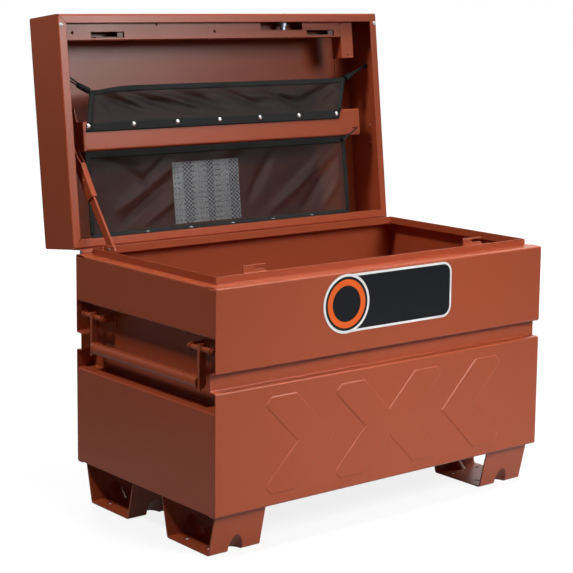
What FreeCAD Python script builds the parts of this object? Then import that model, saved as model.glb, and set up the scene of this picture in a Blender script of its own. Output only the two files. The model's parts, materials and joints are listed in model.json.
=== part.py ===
import FreeCAD, Part

import math
import os

import Sketcher

# Jobsite storage box: a welded sheet-steel chest on four channel feet, with a hinged hollow lid.
# Millimetres. The origin is on the floor, under the middle of the chest. X runs to the right,
# Y to the back, Z up. The lid stands open, as far as its folding stay lets it go.
# Lid pieces are drawn where they lie when the lid is shut and are then turned about the hinge.

SIZES = [
    # chest shell
    ("box_width", 914, "outside width of chest and lid"),
    ("box_depth", 508, "outside depth of chest and lid"),
    ("body_height", 460, "floor of the chest to its shoulder"),
    ("sheet", 2, "steel sheet"),
    ("bend", 5, "outside bend radius"),
    ("end_ledge", 24.5, "ledge at the shoulder, ends"),
    ("front_ledge", 30, "ledge at the shoulder, front and back"),
    ("lip_height", 15, "lip that stands on the ledge"),
    ("bottom_flange", 20, "flange that carries the floor"),
    ("band_low", 252, "groove across front and back, lower edge"),
    ("band_high", 288, "groove, upper edge"),
    ("band_depth", 18, "groove, depth"),
    ("recess_below", 120, "handle recess below the handle's pins"),
    ("recess_above", 27, "handle recess above the handle's pins"),
    ("recess_depth", 40, "handle recess, depth"),
    # stamped chevrons of the front
    ("stamp_rise", 1.5, "height of the stamping"),
    ("stamp_centre", 125.5, "height of the chevron points"),
    ("stamp_half", 101.5, "half height of a chevron"),
    ("stamp_stroke", 98, "width of a chevron's arm"),
    ("stamp_reach", 178, "chevron point to its tail"),
    ("stamp_corner", 13, "cut corner of a chevron"),
    ("stamp_outer", 153, "points of the outer chevrons from the middle"),
    ("stamp_inner", 30, "points of the crossing chevrons past the middle"),
    ("stamp_slope", 59, "lean of a stamping's edges, degrees"),
    # feet
    ("foot_height", 89, "height of a foot"),
    ("foot_length", 127, "length of a foot"),
    ("foot_inset", 12, "foot end to the chest's end"),
    ("foot_offset", 145, "middle of a foot from the middle of the chest"),
    ("foot_top", 187, "width of a foot at the top"),
    ("foot_bottom", 145, "width of a foot at the bottom"),
    ("foot_plate", 3, "plate of a foot"),
    ("caster_spacing", 76.2, "spacing of the caster bolt holes"),
    ("caster_hole", 5.6, "radius of a caster bolt hole"),
    ("dart_radius", 17.5, "dart pressed into the bend of a foot"),
    ("dart_depth", 19.5, "depth of a dart at the corner of that bend"),
    # lid shell
    ("lid_height", 119, "height of the lid"),
    ("lid_gap", 3, "gap between the ledge and the shut lid"),
    ("lid_open", 96.5, "angle of the open lid, degrees"),
    ("lid_flange", 20, "flange round the lid's mouth"),
    ("lid_hem", 25, "hem inside the lid's back flange"),
    ("end_flange", 45, "flange of a lid end under the top"),
    ("weld_gap", 0.3, "gap at a welded edge"),
    ("lid_pilot", 3.2, "radius of the spare holes in the lid's right end"),
    ("lid_pilot_depth", 44, "spare holes inside the lid's mouth"),
    ("lid_pilot_near", 187, "first spare hole from the lid's back"),
    ("lid_pilot_far", 230, "second spare hole from the lid's back"),
    # hinge
    ("hinge_back", 6.5, "hinge pin behind the chest"),
    ("hinge_rise", 1, "hinge pin above the shoulder"),
    ("hinge_length", 880, "length of the hinge"),
    ("knuckle_radius", 5.5, "hinge knuckle"),
    ("knuckle_gap", 0.4, "gap between two knuckles"),
    ("hinge_pin_radius", 3, "hinge pin"),
    ("hinge_pin_head", 1.5, "height of the hinge pin's heads"),
    ("leaf", 2.5, "hinge leaf"),
    ("leaf_height", 36, "hinge leaf, pin to free edge"),
    ("running_play", 0.06, "radial clearance of a running fit"),
    # crossbar
    ("crossbar_low", 210, "crossbar face from the lid's back, near edge"),
    ("crossbar_high", 275, "crossbar face from the lid's back, far edge"),
    ("crossbar_depth", 18, "crossbar face inside the lid's mouth"),
    ("crossbar_clear", 1.5, "gap between the stay and the crossbar's end plate"),
    ("crossbar_end", 3, "crossbar's end plate"),
    ("crossbar_foot", 25, "foot of the crossbar on the lid's top"),
    ("keyhole_back", 228, "keyhole in the crossbar's face from the lid's back"),
    ("keyhole_inset", 8, "keyhole's eye from the crossbar's right end"),
    ("keyhole_length", 17, "keyhole's slot"),
    ("keyhole_radius", 2.5, "keyhole's eye"),
    ("keyhole_slot", 1.8, "width of the keyhole's slot"),
    # latch
    ("channel_depth", 13, "latch channel face inside the lid's mouth"),
    ("channel_width", 56, "latch channel, its edge behind the lid's front"),
    ("channel_rise", 38, "depth of the latch channel"),
    ("slot_before", 10, "strike slot past the strike, left"),
    ("slot_after", 20, "strike slot past the strike, right"),
    ("slot_front", 7, "strike slot in front of the strike"),
    ("slot_rear", 6, "strike slot behind the strike"),
    ("face_pilot", 3, "radius of the spare holes in the channel's face"),
    ("face_pilot_line", 40, "spare holes behind the lid's front"),
    ("face_pilot_inset", 42, "left spare hole from the end of the lid"),
    ("face_pilot_middle", 33, "middle spare hole, left of the middle"),
    ("face_pilot_third", 194, "third spare hole, left of the middle"),
    ("face_pilot_step", 16, "third spare hole nearer the lid's front"),
    ("guard_inset", 70, "lock guard box from the lid's right end"),
    ("guard_width", 37, "lock guard box, width"),
    ("guard_length", 52, "lock guard box past the channel"),
    ("guard_rise", 35, "lock guard box, height"),
    ("guard_hole", 2, "radius of the guard box's hole"),
    ("guard_hole_inset", 8, "that hole from the guard box's edge"),
    ("strike_left_inset", 127, "middle of the left strike from the chest's left end"),
    ("strike_right_inset", 177, "middle of the right strike from the chest's right end"),
    ("strike_width", 56, "width of a strike"),
    ("strike_plate", 3, "plate of a strike"),
    ("strike_line", 46, "strike behind the front of the chest"),
    ("strike_rise", 28.5, "strike above the shoulder"),
    ("shelf_drop", 1, "strikes and the stay's bracket below the top of the lip"),
    ("notch_height", 7, "height of a strike's notch"),
    ("notch_length", 30, "length of a strike's notch"),
    ("hook_height", 3, "hook of a strike over its notch"),
    ("dog_height", 5, "height of a latch dog"),
    ("dog_length", 20, "length of a latch dog"),
    ("latch_travel", 24, "travel of the latch bar"),
    ("latch_play", 1, "clearance round the latch bar"),
    ("bar_plate", 3, "plate of the latch bar"),
    ("bar_height", 16, "height of the latch bar"),
    ("bar_gap", 2, "gap between a strike and the latch bar"),
    ("guide_radius", 4, "latch guide stud"),
    ("guide_left", 180, "left guide stud, left of the middle"),
    ("guide_right", 60, "right guide stud, right of the middle"),
    ("guide_play", 0.5, "clearance round a guide stud"),
    ("guide_head", 1.5, "height of a guide stud's head"),
    ("guide_lap", 2, "overhang of that head"),
    ("lock_across", 178, "lock from the middle"),
    ("lock_radius", 11, "lock barrel"),
    ("lock_length", 28, "lock barrel behind the front of the lid"),
    ("lock_proud", 1.2, "lock barrel in front of the lid"),
    ("lock_collar", 3, "overhang of the lock barrel's collar"),
    ("lock_collar_height", 2.4, "height of that collar"),
    ("bay_left", 76, "bay of the latch channel, left of the lock"),
    ("bay_right", 51, "bay of the latch channel, right of the lock"),
    ("bay_edge", 8, "bay's edge in front of the strikes"),
    ("plug_radius", 7, "lock plug"),
    ("cam_radius", 17, "lock axis to the cam's pin"),
    ("cam_plate", 3, "plate of the lock cam"),
    ("cam_pin_radius", 3, "pin of the lock cam"),
    ("cam_margin", 2, "cam plate round its pin"),
    ("cam_gap", 1.5, "gap between the cam and the latch bar"),
    ("cam_play", 1, "clearance across the cam's pin"),
    ("cam_room", 0.5, "clearance at the ends of the cam pin's slot"),
    # folding stay
    ("stay_inset", 48.5, "stay from the end of the chest"),
    ("stay_link", 5, "thickness of the lower link"),
    ("stay_cheek", 2.3, "cheek of the upper link"),
    ("stay_cheek_gap", 1.2, "gap between a cheek and the lower link"),
    ("stay_pivot_inset", 70, "lower pivot in front of the back of the chest"),
    ("stay_share", 0.602, "lower link's share of the open stay"),
    ("stay_over", 3.7, "elbow behind the straight line of the open stay"),
    ("stay_width", 20, "width of the lower link"),
    ("stay_pivot_rise", 12, "lower pivot above the shoulder"),
    ("stay_top_back", 245.5, "upper pivot from the lid's back"),
    ("stay_top_depth", 66, "upper pivot inside the lid's mouth"),
    ("stay_rivet", 4, "radius of the stay's rivets"),
    ("stay_tail", 43, "upper link past the elbow"),
    ("stay_web", 40, "web of the upper link above the elbow"),
    ("stay_web_gap", 2.7, "lower link's edge to the web that stops it"),
    ("stay_slot", 46, "travel of the upper rivet in its slot"),
    ("stay_slot_play", 3, "clearance across that slot"),
    ("stay_slot_shift", 2, "slot's middle nearer the lid's mouth than the rivet's rest"),
    ("stay_cap", 3, "overhang of a stay rivet's head"),
    ("stay_cap_height", 2, "height of a stay rivet's head"),
    ("stay_top_cap", 2.5, "top rivet's head past its slot"),
    ("stay_washer_gap", 0.3, "gap beside a stay link"),
    ("stay_bracket_half", 19, "half the length of the stay's bracket"),
    ("stay_ear_gap", 7, "middle of the stay to the bracket's ear"),
    ("stay_ear_margin", 4, "bracket's ear above the lower rivet's head"),
    ("stay_web_slant", 15, "slanted start of the upper link's web"),
    ("stay_fold_gap", 0.5, "upper link's side past the lower link's"),
    # handles
    ("handle_inset", 8, "handle pins inside the end of the chest"),
    ("handle_height", 331, "handle pins above the chest's floor"),
    ("handle_drop", 69, "pin to grip"),
    ("handle_reach", 200, "arms from the middle"),
    ("grip_radius", 12.5, "grip tube"),
    ("grip_wall", 2.5, "wall of the grip tube"),
    ("arm_width", 15, "handle arm"),
    ("arm_head", 10, "handle arm above its pin"),
    ("arm_tip", 16, "handle arm below the grip's middle, outside"),
    ("arm_heel", 4, "handle arm below the grip's middle, inside"),
    ("arm_plate", 7, "thickness of a handle arm"),
    ("handle_pin", 5.25, "radius of a handle pin"),
    ("handle_pin_length", 82, "length of a handle pin"),
    ("collar_lap", 2.5, "overhang of a handle pin's collar"),
    ("collar_width", 2.5, "width of a handle pin's collar"),
    ("bracket_below", 22, "handle bracket below its pin"),
    ("bracket_above", 20, "handle bracket above its pin"),
    ("bracket_ear", 2.75, "bracket's ear round the pin"),
    ("bracket_end", 6, "bracket's ear from the pin's end"),
    ("bracket_plate", 3, "plate of the brackets"),
    # pockets and trim
    ("mesh", 2, "thickness of a mesh pocket"),
    ("soft_gap", 0.3, "gap between a pocket and what it lies on"),
    ("pocket_top", 352, "upper pocket, top edge from the lid's back"),
    ("pocket_low", 254, "upper pocket, bottom edge"),
    ("pocket_lean", 15, "lean of the upper pocket"),
    ("pocket_edge", 2, "pockets short of the crossbar's left end"),
    ("pocket_short", 67, "upper pocket's bottom edge short of the crossbar's right end"),
    ("pocket_inset", 79, "upper pocket's top corners from the ends of the lid"),
    ("bag_short", 43, "lower pocket short of the crossbar's right end"),
    ("bag_depth", 24, "lower pocket inside the lid's mouth"),
    ("snap_end_left", 144, "lower pocket's first rivet from its left edge"),
    ("snap_end_right", 129, "lower pocket's last rivet from its right edge"),
    ("snap_edge", 2, "head of a pocket rivet from the pocket's edge"),
    ("snap_depth", 16, "lower pocket's rivets inside the lid's mouth"),
    ("bag_strip", 8, "lower pocket's hem strip inside the lid's mouth"),
    ("bag_turn", 20, "lower pocket's edge turned in at the crossbar"),
    ("snap_radius", 5.5, "head of a pocket rivet"),
    ("snap_head", 2.6, "height of that head"),
    ("cord_radius", 2, "elastic cord"),
    ("cord_climb", 25, "elastic cord, corner to end wall, away from the hinge"),
    ("cord_deepen", 9, "elastic cord, corner to end wall, towards the lid's top"),
    ("cord_spread", 8, "spread of the two left cords"),
    ("cord_wall_gap", 0.8, "end of a cord from the lid's end wall"),
    ("cord_rise", 1, "gap between a cord and the pocket's top edge"),
    ("cord_corner", 2, "upper cords past the pocket's corner"),
    ("cord_inset", 4, "lower left cord inside the pocket's corner"),
    ("label_width", 193, "label, width"),
    ("label_height", 145, "label, height"),
    ("label_left", 105, "label's left edge, left of the middle"),
    ("label_back", 27, "label from the lid's back"),
    ("label_thick", 0.4, "label"),
    ("bumper_radius", 5, "rubber bumper"),
    ("bumper_inset", 7, "rubber bumper from the end of the lid"),
    ("bumper_line", 24, "rubber bumper from the front of the lid"),
    ("badge_height", 124, "badge plate"),
    ("badge_length", 361, "badge plate"),
    ("badge_thick", 1.2, "badge plate"),
    ("badge_disc", 125, "middle of the badge's disc, left of the middle"),
    ("badge_drop", 67, "middle of the badge below the shoulder"),
    ("badge_step", 1.5, "badge plate narrower than its disc, each side"),
    ("badge_corner", 25, "corner of the badge plate"),
]

doc = FreeCAD.newDocument("JobsiteBox")
sheet_object = doc.addObject("Spreadsheet::Sheet", "Sizes")
for row, (alias, number, meaning) in enumerate(SIZES, start=1):
    sheet_object.set(f"A{row}", meaning)
    sheet_object.set(f"B{row}", str(number))
    sheet_object.setAlias(f"B{row}", alias)
doc.recompute()


class Size:
    """A length or an angle: its number, and the expression that gives it from the sheet."""

    def __init__(self, number, text=None):
        self.number = float(number)
        self.text = text or f"({self.number!r})"

    def __add__(self, other):
        other = as_size(other)
        return Size(self.number + other.number, f"({self.text} + {other.text})")

    def __sub__(self, other):
        other = as_size(other)
        return Size(self.number - other.number, f"({self.text} - {other.text})")

    def __mul__(self, other):
        other = as_size(other)
        return Size(self.number * other.number, f"({self.text} * {other.text})")

    def __truediv__(self, other):
        other = as_size(other)
        return Size(self.number / other.number, f"({self.text} / {other.text})")

    def __neg__(self):
        return Size(-self.number, f"(0 - {self.text})")

    def __radd__(self, other):
        return as_size(other) + self

    def __rsub__(self, other):
        return as_size(other) - self

    def __rmul__(self, other):
        return as_size(other) * self


def as_size(value):
    return value if isinstance(value, Size) else Size(value)


def cell(alias):
    return Size(sheet_object.get(alias), f"Sizes.{alias}")


def sine(angle):
    return Size(math.sin(math.radians(angle.number)), f"sin({angle.text})")


def cosine(angle):
    return Size(math.cos(math.radians(angle.number)), f"cos({angle.text})")


def root(value):
    return Size(math.sqrt(value.number), f"sqrt({value.text})")


def bearing(along, up):
    """The angle of a direction, in degrees."""
    return Size(math.degrees(math.atan2(up.number, along.number)), f"atan2({up.text}; {along.text})")


def bind(thing, name, value):
    """Set a property from a size and keep it tied to the sheet."""
    thing.setExpression(name, as_size(value).text)


# --- building blocks -------------------------------------------------------------------------

def block(x, y, z):
    """A box between two sizes along each axis."""
    thing = doc.addObject("Part::Box", "Block")
    for name, axis, (low, high) in zip(("Length", "Width", "Height"), "xyz", (x, y, z)):
        bind(thing, name, high - low)
        bind(thing, f"Placement.Base.{axis}", low)
    return thing


TURN_TO_AXIS = {
    "X": FreeCAD.Rotation(FreeCAD.Vector(0, 1, 0), 90),
    "Y": FreeCAD.Rotation(FreeCAD.Vector(1, 0, 0), -90),
    "Z": FreeCAD.Rotation(),
}


def rod(axis, span, centre, radius):
    """A cylinder along an axis; centre gives the other two coordinates in X, Y, Z order."""
    low, high = as_size(span[0]), as_size(span[1])
    thing = doc.addObject("Part::Cylinder", "Rod")
    thing.Placement.Rotation = TURN_TO_AXIS[axis]
    bind(thing, "Radius", radius)
    bind(thing, "Height", high - low)
    others = [name for name in "xyz" if name != axis.lower()]
    bind(thing, f"Placement.Base.{axis.lower()}", low)
    for name, value in zip(others, centre):
        bind(thing, f"Placement.Base.{name}", value)
    return thing


# Each plane: its name in a body's origin, and the way a pad on it grows along the third axis.
PLANES = {"XY": ("XY_Plane", 1), "XZ": ("XZ_Plane", -1), "YZ": ("YZ_Plane", 1)}


def prism(plane, outline, span, rounds=(), lean=None):
    """A body padded from a closed outline. rounds holds (radius, corners) pairs, and lean is the
    angle at which the sides close in as the pad grows."""
    low, high = as_size(span[0]), as_size(span[1])
    outline = [(as_size(across), as_size(up)) for across, up in outline]
    body = doc.addObject("PartDesign::Body", "Prism")
    sketch = body.newObject("Sketcher::SketchObject", "Outline")
    role, direction = PLANES[plane]
    origin_plane = next(item for item in body.Origin.OriginFeatures if item.Role == role)
    sketch.AttachmentSupport = [(origin_plane, "")]
    sketch.MapMode = "FlatFace"
    bind(sketch, "AttachmentOffset.Base.z", low if direction > 0 else -high)
    corners = [FreeCAD.Vector(across.number, up.number, 0) for across, up in outline]
    count = len(corners)
    for index in range(count):
        sketch.addGeometry(Part.LineSegment(corners[index], corners[(index + 1) % count]))
    for index in range(count):
        sketch.addConstraint(Sketcher.Constraint("Coincident", index, 2, (index + 1) % count, 1))
    for index, (across, up) in enumerate(outline):
        for kind, value in (("DistanceX", across), ("DistanceY", up)):
            number = sketch.addConstraint(Sketcher.Constraint(kind, -1, 1, index, 1, value.number))
            bind(sketch, f"Constraints[{number}]", value)
    pad = body.newObject("PartDesign::Pad", "Pad")
    pad.Profile = sketch
    bind(pad, "Length", high - low)
    if lean is not None:
        bind(pad, "TaperAngle", -lean)
    doc.recompute()
    for radius, picked in rounds:
        round_corners(body, plane, as_size(radius), picked)
    return body


def round_corners(body, plane, radius, picked):
    """Fillet the long edges of a prism that start at the picked corners of its outline."""
    first, second = plane.lower()
    base = body.Tip
    names = []
    for index, edge in enumerate(base.Shape.Edges, start=1):
        ends = [vertex.Point for vertex in edge.Vertexes]
        if len(ends) != 2:
            continue
        for across, up in picked:
            target = (as_size(across).number, as_size(up).number)
            if all(math.dist((getattr(end, first), getattr(end, second)), target) < 0.01 for end in ends):
                names.append(f"Edge{index}")
    if len(names) != len(picked):
        raise RuntimeError(f"{body.Name}: {len(names)} edges found for {len(picked)} corners")
    fillet = body.newObject("PartDesign::Fillet", "Bend")
    fillet.Base = (base, names)
    bind(fillet, "Radius", radius)
    doc.recompute()


def fuse(*things):
    if len(things) == 1:
        return things[0]
    thing = doc.addObject("Part::MultiFuse", "Fused")
    thing.Shapes = list(things)
    return thing


def common(base, tool):
    thing = doc.addObject("Part::Common", "Shared")
    thing.Base = base
    thing.Tool = tool
    return thing


def cut(base, *tools):
    thing = doc.addObject("Part::Cut", "Trimmed")
    thing.Base = base
    thing.Tool = fuse(*tools)
    return thing


def group(*things):
    """Separate solids that share one node."""
    thing = doc.addObject("Part::Compound", "Set")
    thing.Links = list(things)
    return thing


parts = []


def finish(label, thing):
    """Name a sub-part of the chest."""
    thing.Label = label
    parts.append(thing)
    return thing


# --- shared places ---------------------------------------------------------------------------

half_width = cell("box_width") / 2
half_depth = cell("box_depth") / 2
sheet = cell("sheet")
bend = cell("bend")
inner_bend = bend - sheet
floor_level = cell("foot_height")
shoulder = floor_level + cell("body_height")
lip_top = shoulder + cell("lip_height")
rim = shoulder + cell("lid_gap")
lid_top = rim + cell("lid_height")
stay_x = cell("stay_inset") - half_width
cheek_half = cell("stay_link") / 2 + cell("stay_cheek_gap") + cell("stay_cheek")
crossbar_half = -stay_x - cheek_half - cell("crossbar_clear") - cell("crossbar_end")
hinge_y = half_depth + cell("hinge_back")
hinge_z = shoulder + cell("hinge_rise")
open_angle = cell("lid_open")
running_play = cell("running_play")

notch_low = shoulder + cell("strike_rise") - cell("hook_height") - cell("notch_height")
bar_low = notch_low + cell("latch_play")
lock_z = bar_low + cell("bar_height") / 2


def from_back(distance):
    """Y of a place in the shut lid, measured from its back."""
    return half_depth - distance


def inside(depth):
    """Z of a place in the shut lid, measured from its mouth."""
    return rim + depth


def lid_finish(label, thing):
    """Name a sub-part of the lid and turn it about the hinge to where the open lid has it."""
    holder = doc.addObject("Part::Compound", "Turned")
    holder.Links = [thing]
    holder.Placement = FreeCAD.Placement(
        FreeCAD.Vector(), FreeCAD.Rotation(FreeCAD.Vector(1, 0, 0), -open_angle.number))
    bind(holder, "Placement.Rotation.Angle", -open_angle)
    turned_y = hinge_y * cosine(open_angle) + hinge_z * sine(open_angle)
    turned_z = hinge_z * cosine(open_angle) - hinge_y * sine(open_angle)
    bind(holder, "Placement.Base.y", hinge_y - turned_y)
    bind(holder, "Placement.Base.z", hinge_z - turned_z)
    return finish(label, holder)


# --- chest shell -----------------------------------------------------------------------------

def wall_panel(side):
    """Front (side -1) or back (side 1): one sheet with flange, groove, ledge and lip."""
    face = half_depth
    groove = half_depth - cell("band_depth")
    band_low = floor_level + cell("band_low")
    band_high = floor_level + cell("band_high")
    lip = half_depth - cell("front_ledge")
    outside = [
        (face, floor_level), (face, band_low), (groove, band_low), (groove, band_high),
        (face, band_high), (face, shoulder), (lip, shoulder), (lip, lip_top),
    ]
    inside_run = [
        (lip - sheet, lip_top), (lip - sheet, shoulder - sheet), (face - sheet, shoulder - sheet),
        (face - sheet, band_high + sheet), (groove - sheet, band_high + sheet),
        (groove - sheet, band_low - sheet), (face - sheet, band_low - sheet),
        (face - sheet, floor_level + sheet), (face - cell("bottom_flange"), floor_level + sheet),
        (face - cell("bottom_flange"), floor_level),
    ]
    outline = [(across * side, up) for across, up in outside + inside_run]
    convex = [outline[index] for index in (0, 1, 4, 5)] + [outline[index] for index in (12, 13)]
    concave = [outline[index] for index in (2, 3, 10, 11, 14, 15)]
    panel = prism("YZ", outline, (-half_width, half_width), [(bend, convex), (inner_bend, concave)])
    end_of_lip = half_width - cell("end_ledge")
    trims = [
        block(span, sorted_span(side, lip - sheet, lip), (shoulder, lip_top))
        for span in ((-half_width, -end_of_lip), (end_of_lip, half_width))
    ]
    return panel, trims


def sorted_span(side, near, far):
    """A span along an axis, mirrored for side -1."""
    return (near, far) if side > 0 else (-far, -near)


def chevron(point, direction, y_span):
    """One stamped chevron: its point, and the way it points along X."""
    middle = floor_level + cell("stamp_centre")
    half = cell("stamp_half")
    tail = point - direction * cell("stamp_reach")
    nick = direction * cell("stamp_corner")
    notch = cell("stamp_reach") - cell("stamp_stroke")
    upper = [
        (point - direction * half, middle + half),
        (tail + nick, middle + half),
        (tail, middle + half - cell("stamp_corner")),
        (tail, middle + notch),
    ]
    lower = [(across, 2 * middle - up) for across, up in reversed(upper)]
    outline = [(point, middle)] + upper + [(point - direction * cell("stamp_stroke"), middle)] + lower
    return prism("XZ", outline, y_span, lean=cell("stamp_slope"))


def stampings(y_span):
    outer = cell("stamp_outer")
    inner = cell("stamp_inner")
    places = ((-outer, 1), (inner, 1), (-inner, -1), (outer, -1))
    return [chevron(point, direction, y_span) for point, direction in places]


front, front_trims = wall_panel(-1)
raised = stampings((-half_depth - cell("stamp_rise"), -half_depth))
hollow = stampings((-half_depth + sheet - cell("stamp_rise"), -half_depth + sheet))
finish("front_panel", cut(fuse(front, *raised), *hollow, *front_trims))

back, back_trims = wall_panel(1)
finish("back_panel", cut(back, *back_trims))


def end_panel(side):
    """Left (side -1) or right (side 1): one sheet with the handle recess, ledge and lip."""
    face = half_width
    well = half_width - cell("recess_depth")
    pins = floor_level + cell("handle_height")
    low = pins - cell("recess_below")
    high = pins + cell("recess_above")
    lip = half_width - cell("end_ledge")
    outside = [
        (face, floor_level + sheet), (face, low), (well, low), (well, high), (face, high),
        (face, shoulder), (lip, shoulder), (lip, lip_top),
    ]
    inside_run = [
        (lip - sheet, lip_top), (lip - sheet, shoulder - sheet), (face - sheet, shoulder - sheet),
        (face - sheet, high + sheet), (well - sheet, high + sheet), (well - sheet, low - sheet),
        (face - sheet, low - sheet), (face - sheet, floor_level + sheet),
    ]
    outline = [(across * side, up) for across, up in outside + inside_run]
    convex = [outline[index] for index in (1, 4, 5, 12, 13)]
    concave = [outline[index] for index in (2, 3, 10, 11, 14)]
    reach = half_depth - sheet
    panel = prism("XZ", outline, (-reach, reach), [(bend, convex), (inner_bend, concave)])
    trims = []
    for end in (-1, 1):
        ledge_end = sorted_span(end, half_depth - cell("front_ledge") - sheet, half_depth)
        trims.append(block(sorted_span(side, lip - 2 * sheet, face - bend), ledge_end,
                           (shoulder - sheet - inner_bend, lip_top)))
        trims.append(block(sorted_span(side, face - bend, face), ledge_end,
                           (shoulder - bend, lip_top)))
        groove_end = sorted_span(end, half_depth - cell("band_depth") - sheet, half_depth)
        trims.append(block(sorted_span(side, well - 2 * sheet, face), groove_end,
                           (floor_level + cell("band_low") - sheet,
                            floor_level + cell("band_high") + sheet)))
        corner = sorted_span(end, half_depth - bend, half_depth)
        trims.append(block(sorted_span(side, well - 2 * sheet, face), corner,
                           (floor_level + cell("band_low") - bend,
                            floor_level + cell("band_high") + bend)))
        trims.append(block(sorted_span(side, face - sheet, face), corner,
                           (floor_level, floor_level + bend)))
    return cut(panel, *trims)


finish("left_end_panel", end_panel(-1))
finish("right_end_panel", end_panel(1))
finish("floor_panel", block(
    (-half_width + sheet, half_width - sheet),
    (-half_depth + bend, half_depth - bend),
    (floor_level + sheet, floor_level + 2 * sheet)))


def dart(centre_x, bend_y, wall, radius):
    """A cylinder laid across the lower bend of a foot's front (wall -1) or rear (wall 1) side."""
    thing = doc.addObject("Part::Cylinder", "Dart")
    thing.Placement.Rotation = FreeCAD.Rotation(FreeCAD.Vector(1, 0, 0), -45 * wall)
    diagonal = cosine(Size(45))
    reach = 3 * cell("dart_depth") * diagonal
    shift = (cell("dart_radius") - cell("dart_depth")) * diagonal
    bind(thing, "Radius", radius)
    bind(thing, "Height", 6 * cell("dart_depth"))
    bind(thing, "Placement.Base.x", centre_x)
    bind(thing, "Placement.Base.y", bend_y + wall * (shift - reach))
    bind(thing, "Placement.Base.z", -shift - reach)
    return thing


def foot(side, end):
    """A trapezoid channel, open at both ends, with a dart in each lower bend and four caster bolt
    holes in its floor."""
    plate = cell("foot_plate")
    top, bottom = cell("foot_top") / 2, cell("foot_bottom") / 2
    middle = end * cell("foot_offset")
    inner_bottom = bottom - plate
    inner_top = top - plate
    outline = [
        (middle - top, floor_level), (middle - bottom, Size(0)), (middle + bottom, Size(0)),
        (middle + top, floor_level), (middle + inner_top, floor_level),
        (middle + inner_bottom, plate), (middle - inner_bottom, plate),
        (middle - inner_top, floor_level),
    ]
    outer_end = half_width - cell("foot_inset")
    span = sorted_span(side, outer_end - cell("foot_length"), outer_end)
    channel = prism("YZ", outline, span, [(2 * plate, outline[1:3]), (plate, outline[5:7])])
    centre = (span[0] + span[1]) / 2
    block_of_foot = prism("YZ", outline[:4], span, [(2 * plate, outline[1:3])])
    bends = [(middle + wall * bottom, wall) for wall in (-1, 1)]
    pressed = [common(block_of_foot, fuse(*[
        dart(centre, bend_y, wall, cell("dart_radius") + plate) for bend_y, wall in bends]))]
    dents = [dart(centre, bend_y, wall, cell("dart_radius")) for bend_y, wall in bends]
    pitch = cell("caster_spacing") / 2
    holes = [
        rod("Z", (-plate, 2 * plate), (centre + across * pitch, middle + along * pitch),
            cell("caster_hole"))
        for across in (-1, 1) for along in (-1, 1)
    ]
    return cut(fuse(channel, *pressed), *dents, *holes)


for side, side_name in ((-1, "left"), (1, "right")):
    for end, end_name in ((-1, "front"), (1, "rear")):
        finish(f"foot_{end_name}_{side_name}", foot(side, end))


# --- lid shell -------------------------------------------------------------------------------

def lid_skin():
    """Top, front and back of the lid: one sheet, with its mouth flanges and the back hem."""
    face = half_depth
    flange = half_depth - cell("lid_flange")
    outline = [
        (-flange, rim), (-face, rim), (-face, lid_top), (face, lid_top), (face, rim),
        (flange, rim), (flange, rim + cell("lid_hem")), (flange + sheet, rim + cell("lid_hem")),
        (flange + sheet, rim + sheet), (face - sheet, rim + sheet), (face - sheet, lid_top - sheet),
        (-face + sheet, lid_top - sheet), (-face + sheet, rim + sheet), (-flange, rim + sheet),
    ]
    convex = outline[1:5]
    concave = outline[9:13]
    skin = prism("YZ", outline, (-half_width, half_width), [(bend, convex), (inner_bend, concave)])
    hem_end = half_width - cell("lid_flange") - sheet
    hem_trims = [
        block(span, (flange - sheet, flange + sheet), (rim + sheet, inside(cell("lid_hem"))))
        for span in ((-half_width, -hem_end), (hem_end, half_width))
    ]
    keyway = rod("Y", (-half_depth - sheet, -half_depth + 2 * sheet),
                 (cell("lock_across"), lock_z),
                 cell("lock_radius") + cell("weld_gap"))
    return cut(skin, keyway, *hem_trims, *mouth_mitres(True))


def mouth_mitres(for_skin):
    """Tools that end the mouth flanges of the skin, or of the lid ends, on the diagonal."""
    gap = cell("weld_gap")
    tools = []
    for side in (-1, 1):
        for end in (-1, 1):
            outer = (side * half_width, end * half_depth)
            inner = (side * (half_width - cell("lid_flange")), end * (half_depth - cell("lid_flange")))
            if for_skin:
                outline = [outer, (outer[0], inner[1]), inner]
            else:
                shift = end * gap
                outline = [
                    (outer[0], outer[1] - shift), (inner[0], outer[1]), (inner[0], inner[1] - shift),
                ]
            tools.append(prism("XY", outline, (rim, rim + sheet)))
    return tools


def lid_end(side):
    """End of the lid: a sheet with a mouth flange and a flange under the top."""
    face = half_width
    flange = half_width - cell("lid_flange")
    tuck = half_width - cell("end_flange")
    under = lid_top - sheet
    outline = [
        (flange, rim), (face, rim), (face, under), (tuck, under), (tuck, under - sheet),
        (face - sheet, under - sheet), (face - sheet, rim + sheet), (flange, rim + sheet),
    ]
    outline = [(across * side, up) for across, up in outline]
    reach = half_depth - sheet
    return prism("XZ", outline, (-reach, reach),
                 [(inner_bend, outline[1:3]), (inner_bend - sheet / 2, outline[5:7])])


def corner_reliefs():
    """Tools that keep the lid ends clear of the bends of the skin."""
    return [
        block((-half_width, half_width), sorted_span(end, half_depth - bend, half_depth), z_span)
        for end in (-1, 1) for z_span in ((rim, rim + bend), (lid_top - bend, lid_top))
    ]


lid_finish("lid_skin", lid_skin())
pilots = [
    rod("X", (half_width - 2 * sheet, half_width),
        (from_back(cell(place)), inside(cell("lid_pilot_depth"))), cell("lid_pilot"))
    for place in ("lid_pilot_near", "lid_pilot_far")
]
for side, name, holes in ((-1, "lid_left_end", []), (1, "lid_right_end", pilots)):
    lid_finish(name, cut(lid_end(side), *mouth_mitres(False), *corner_reliefs(), *holes))


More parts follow.
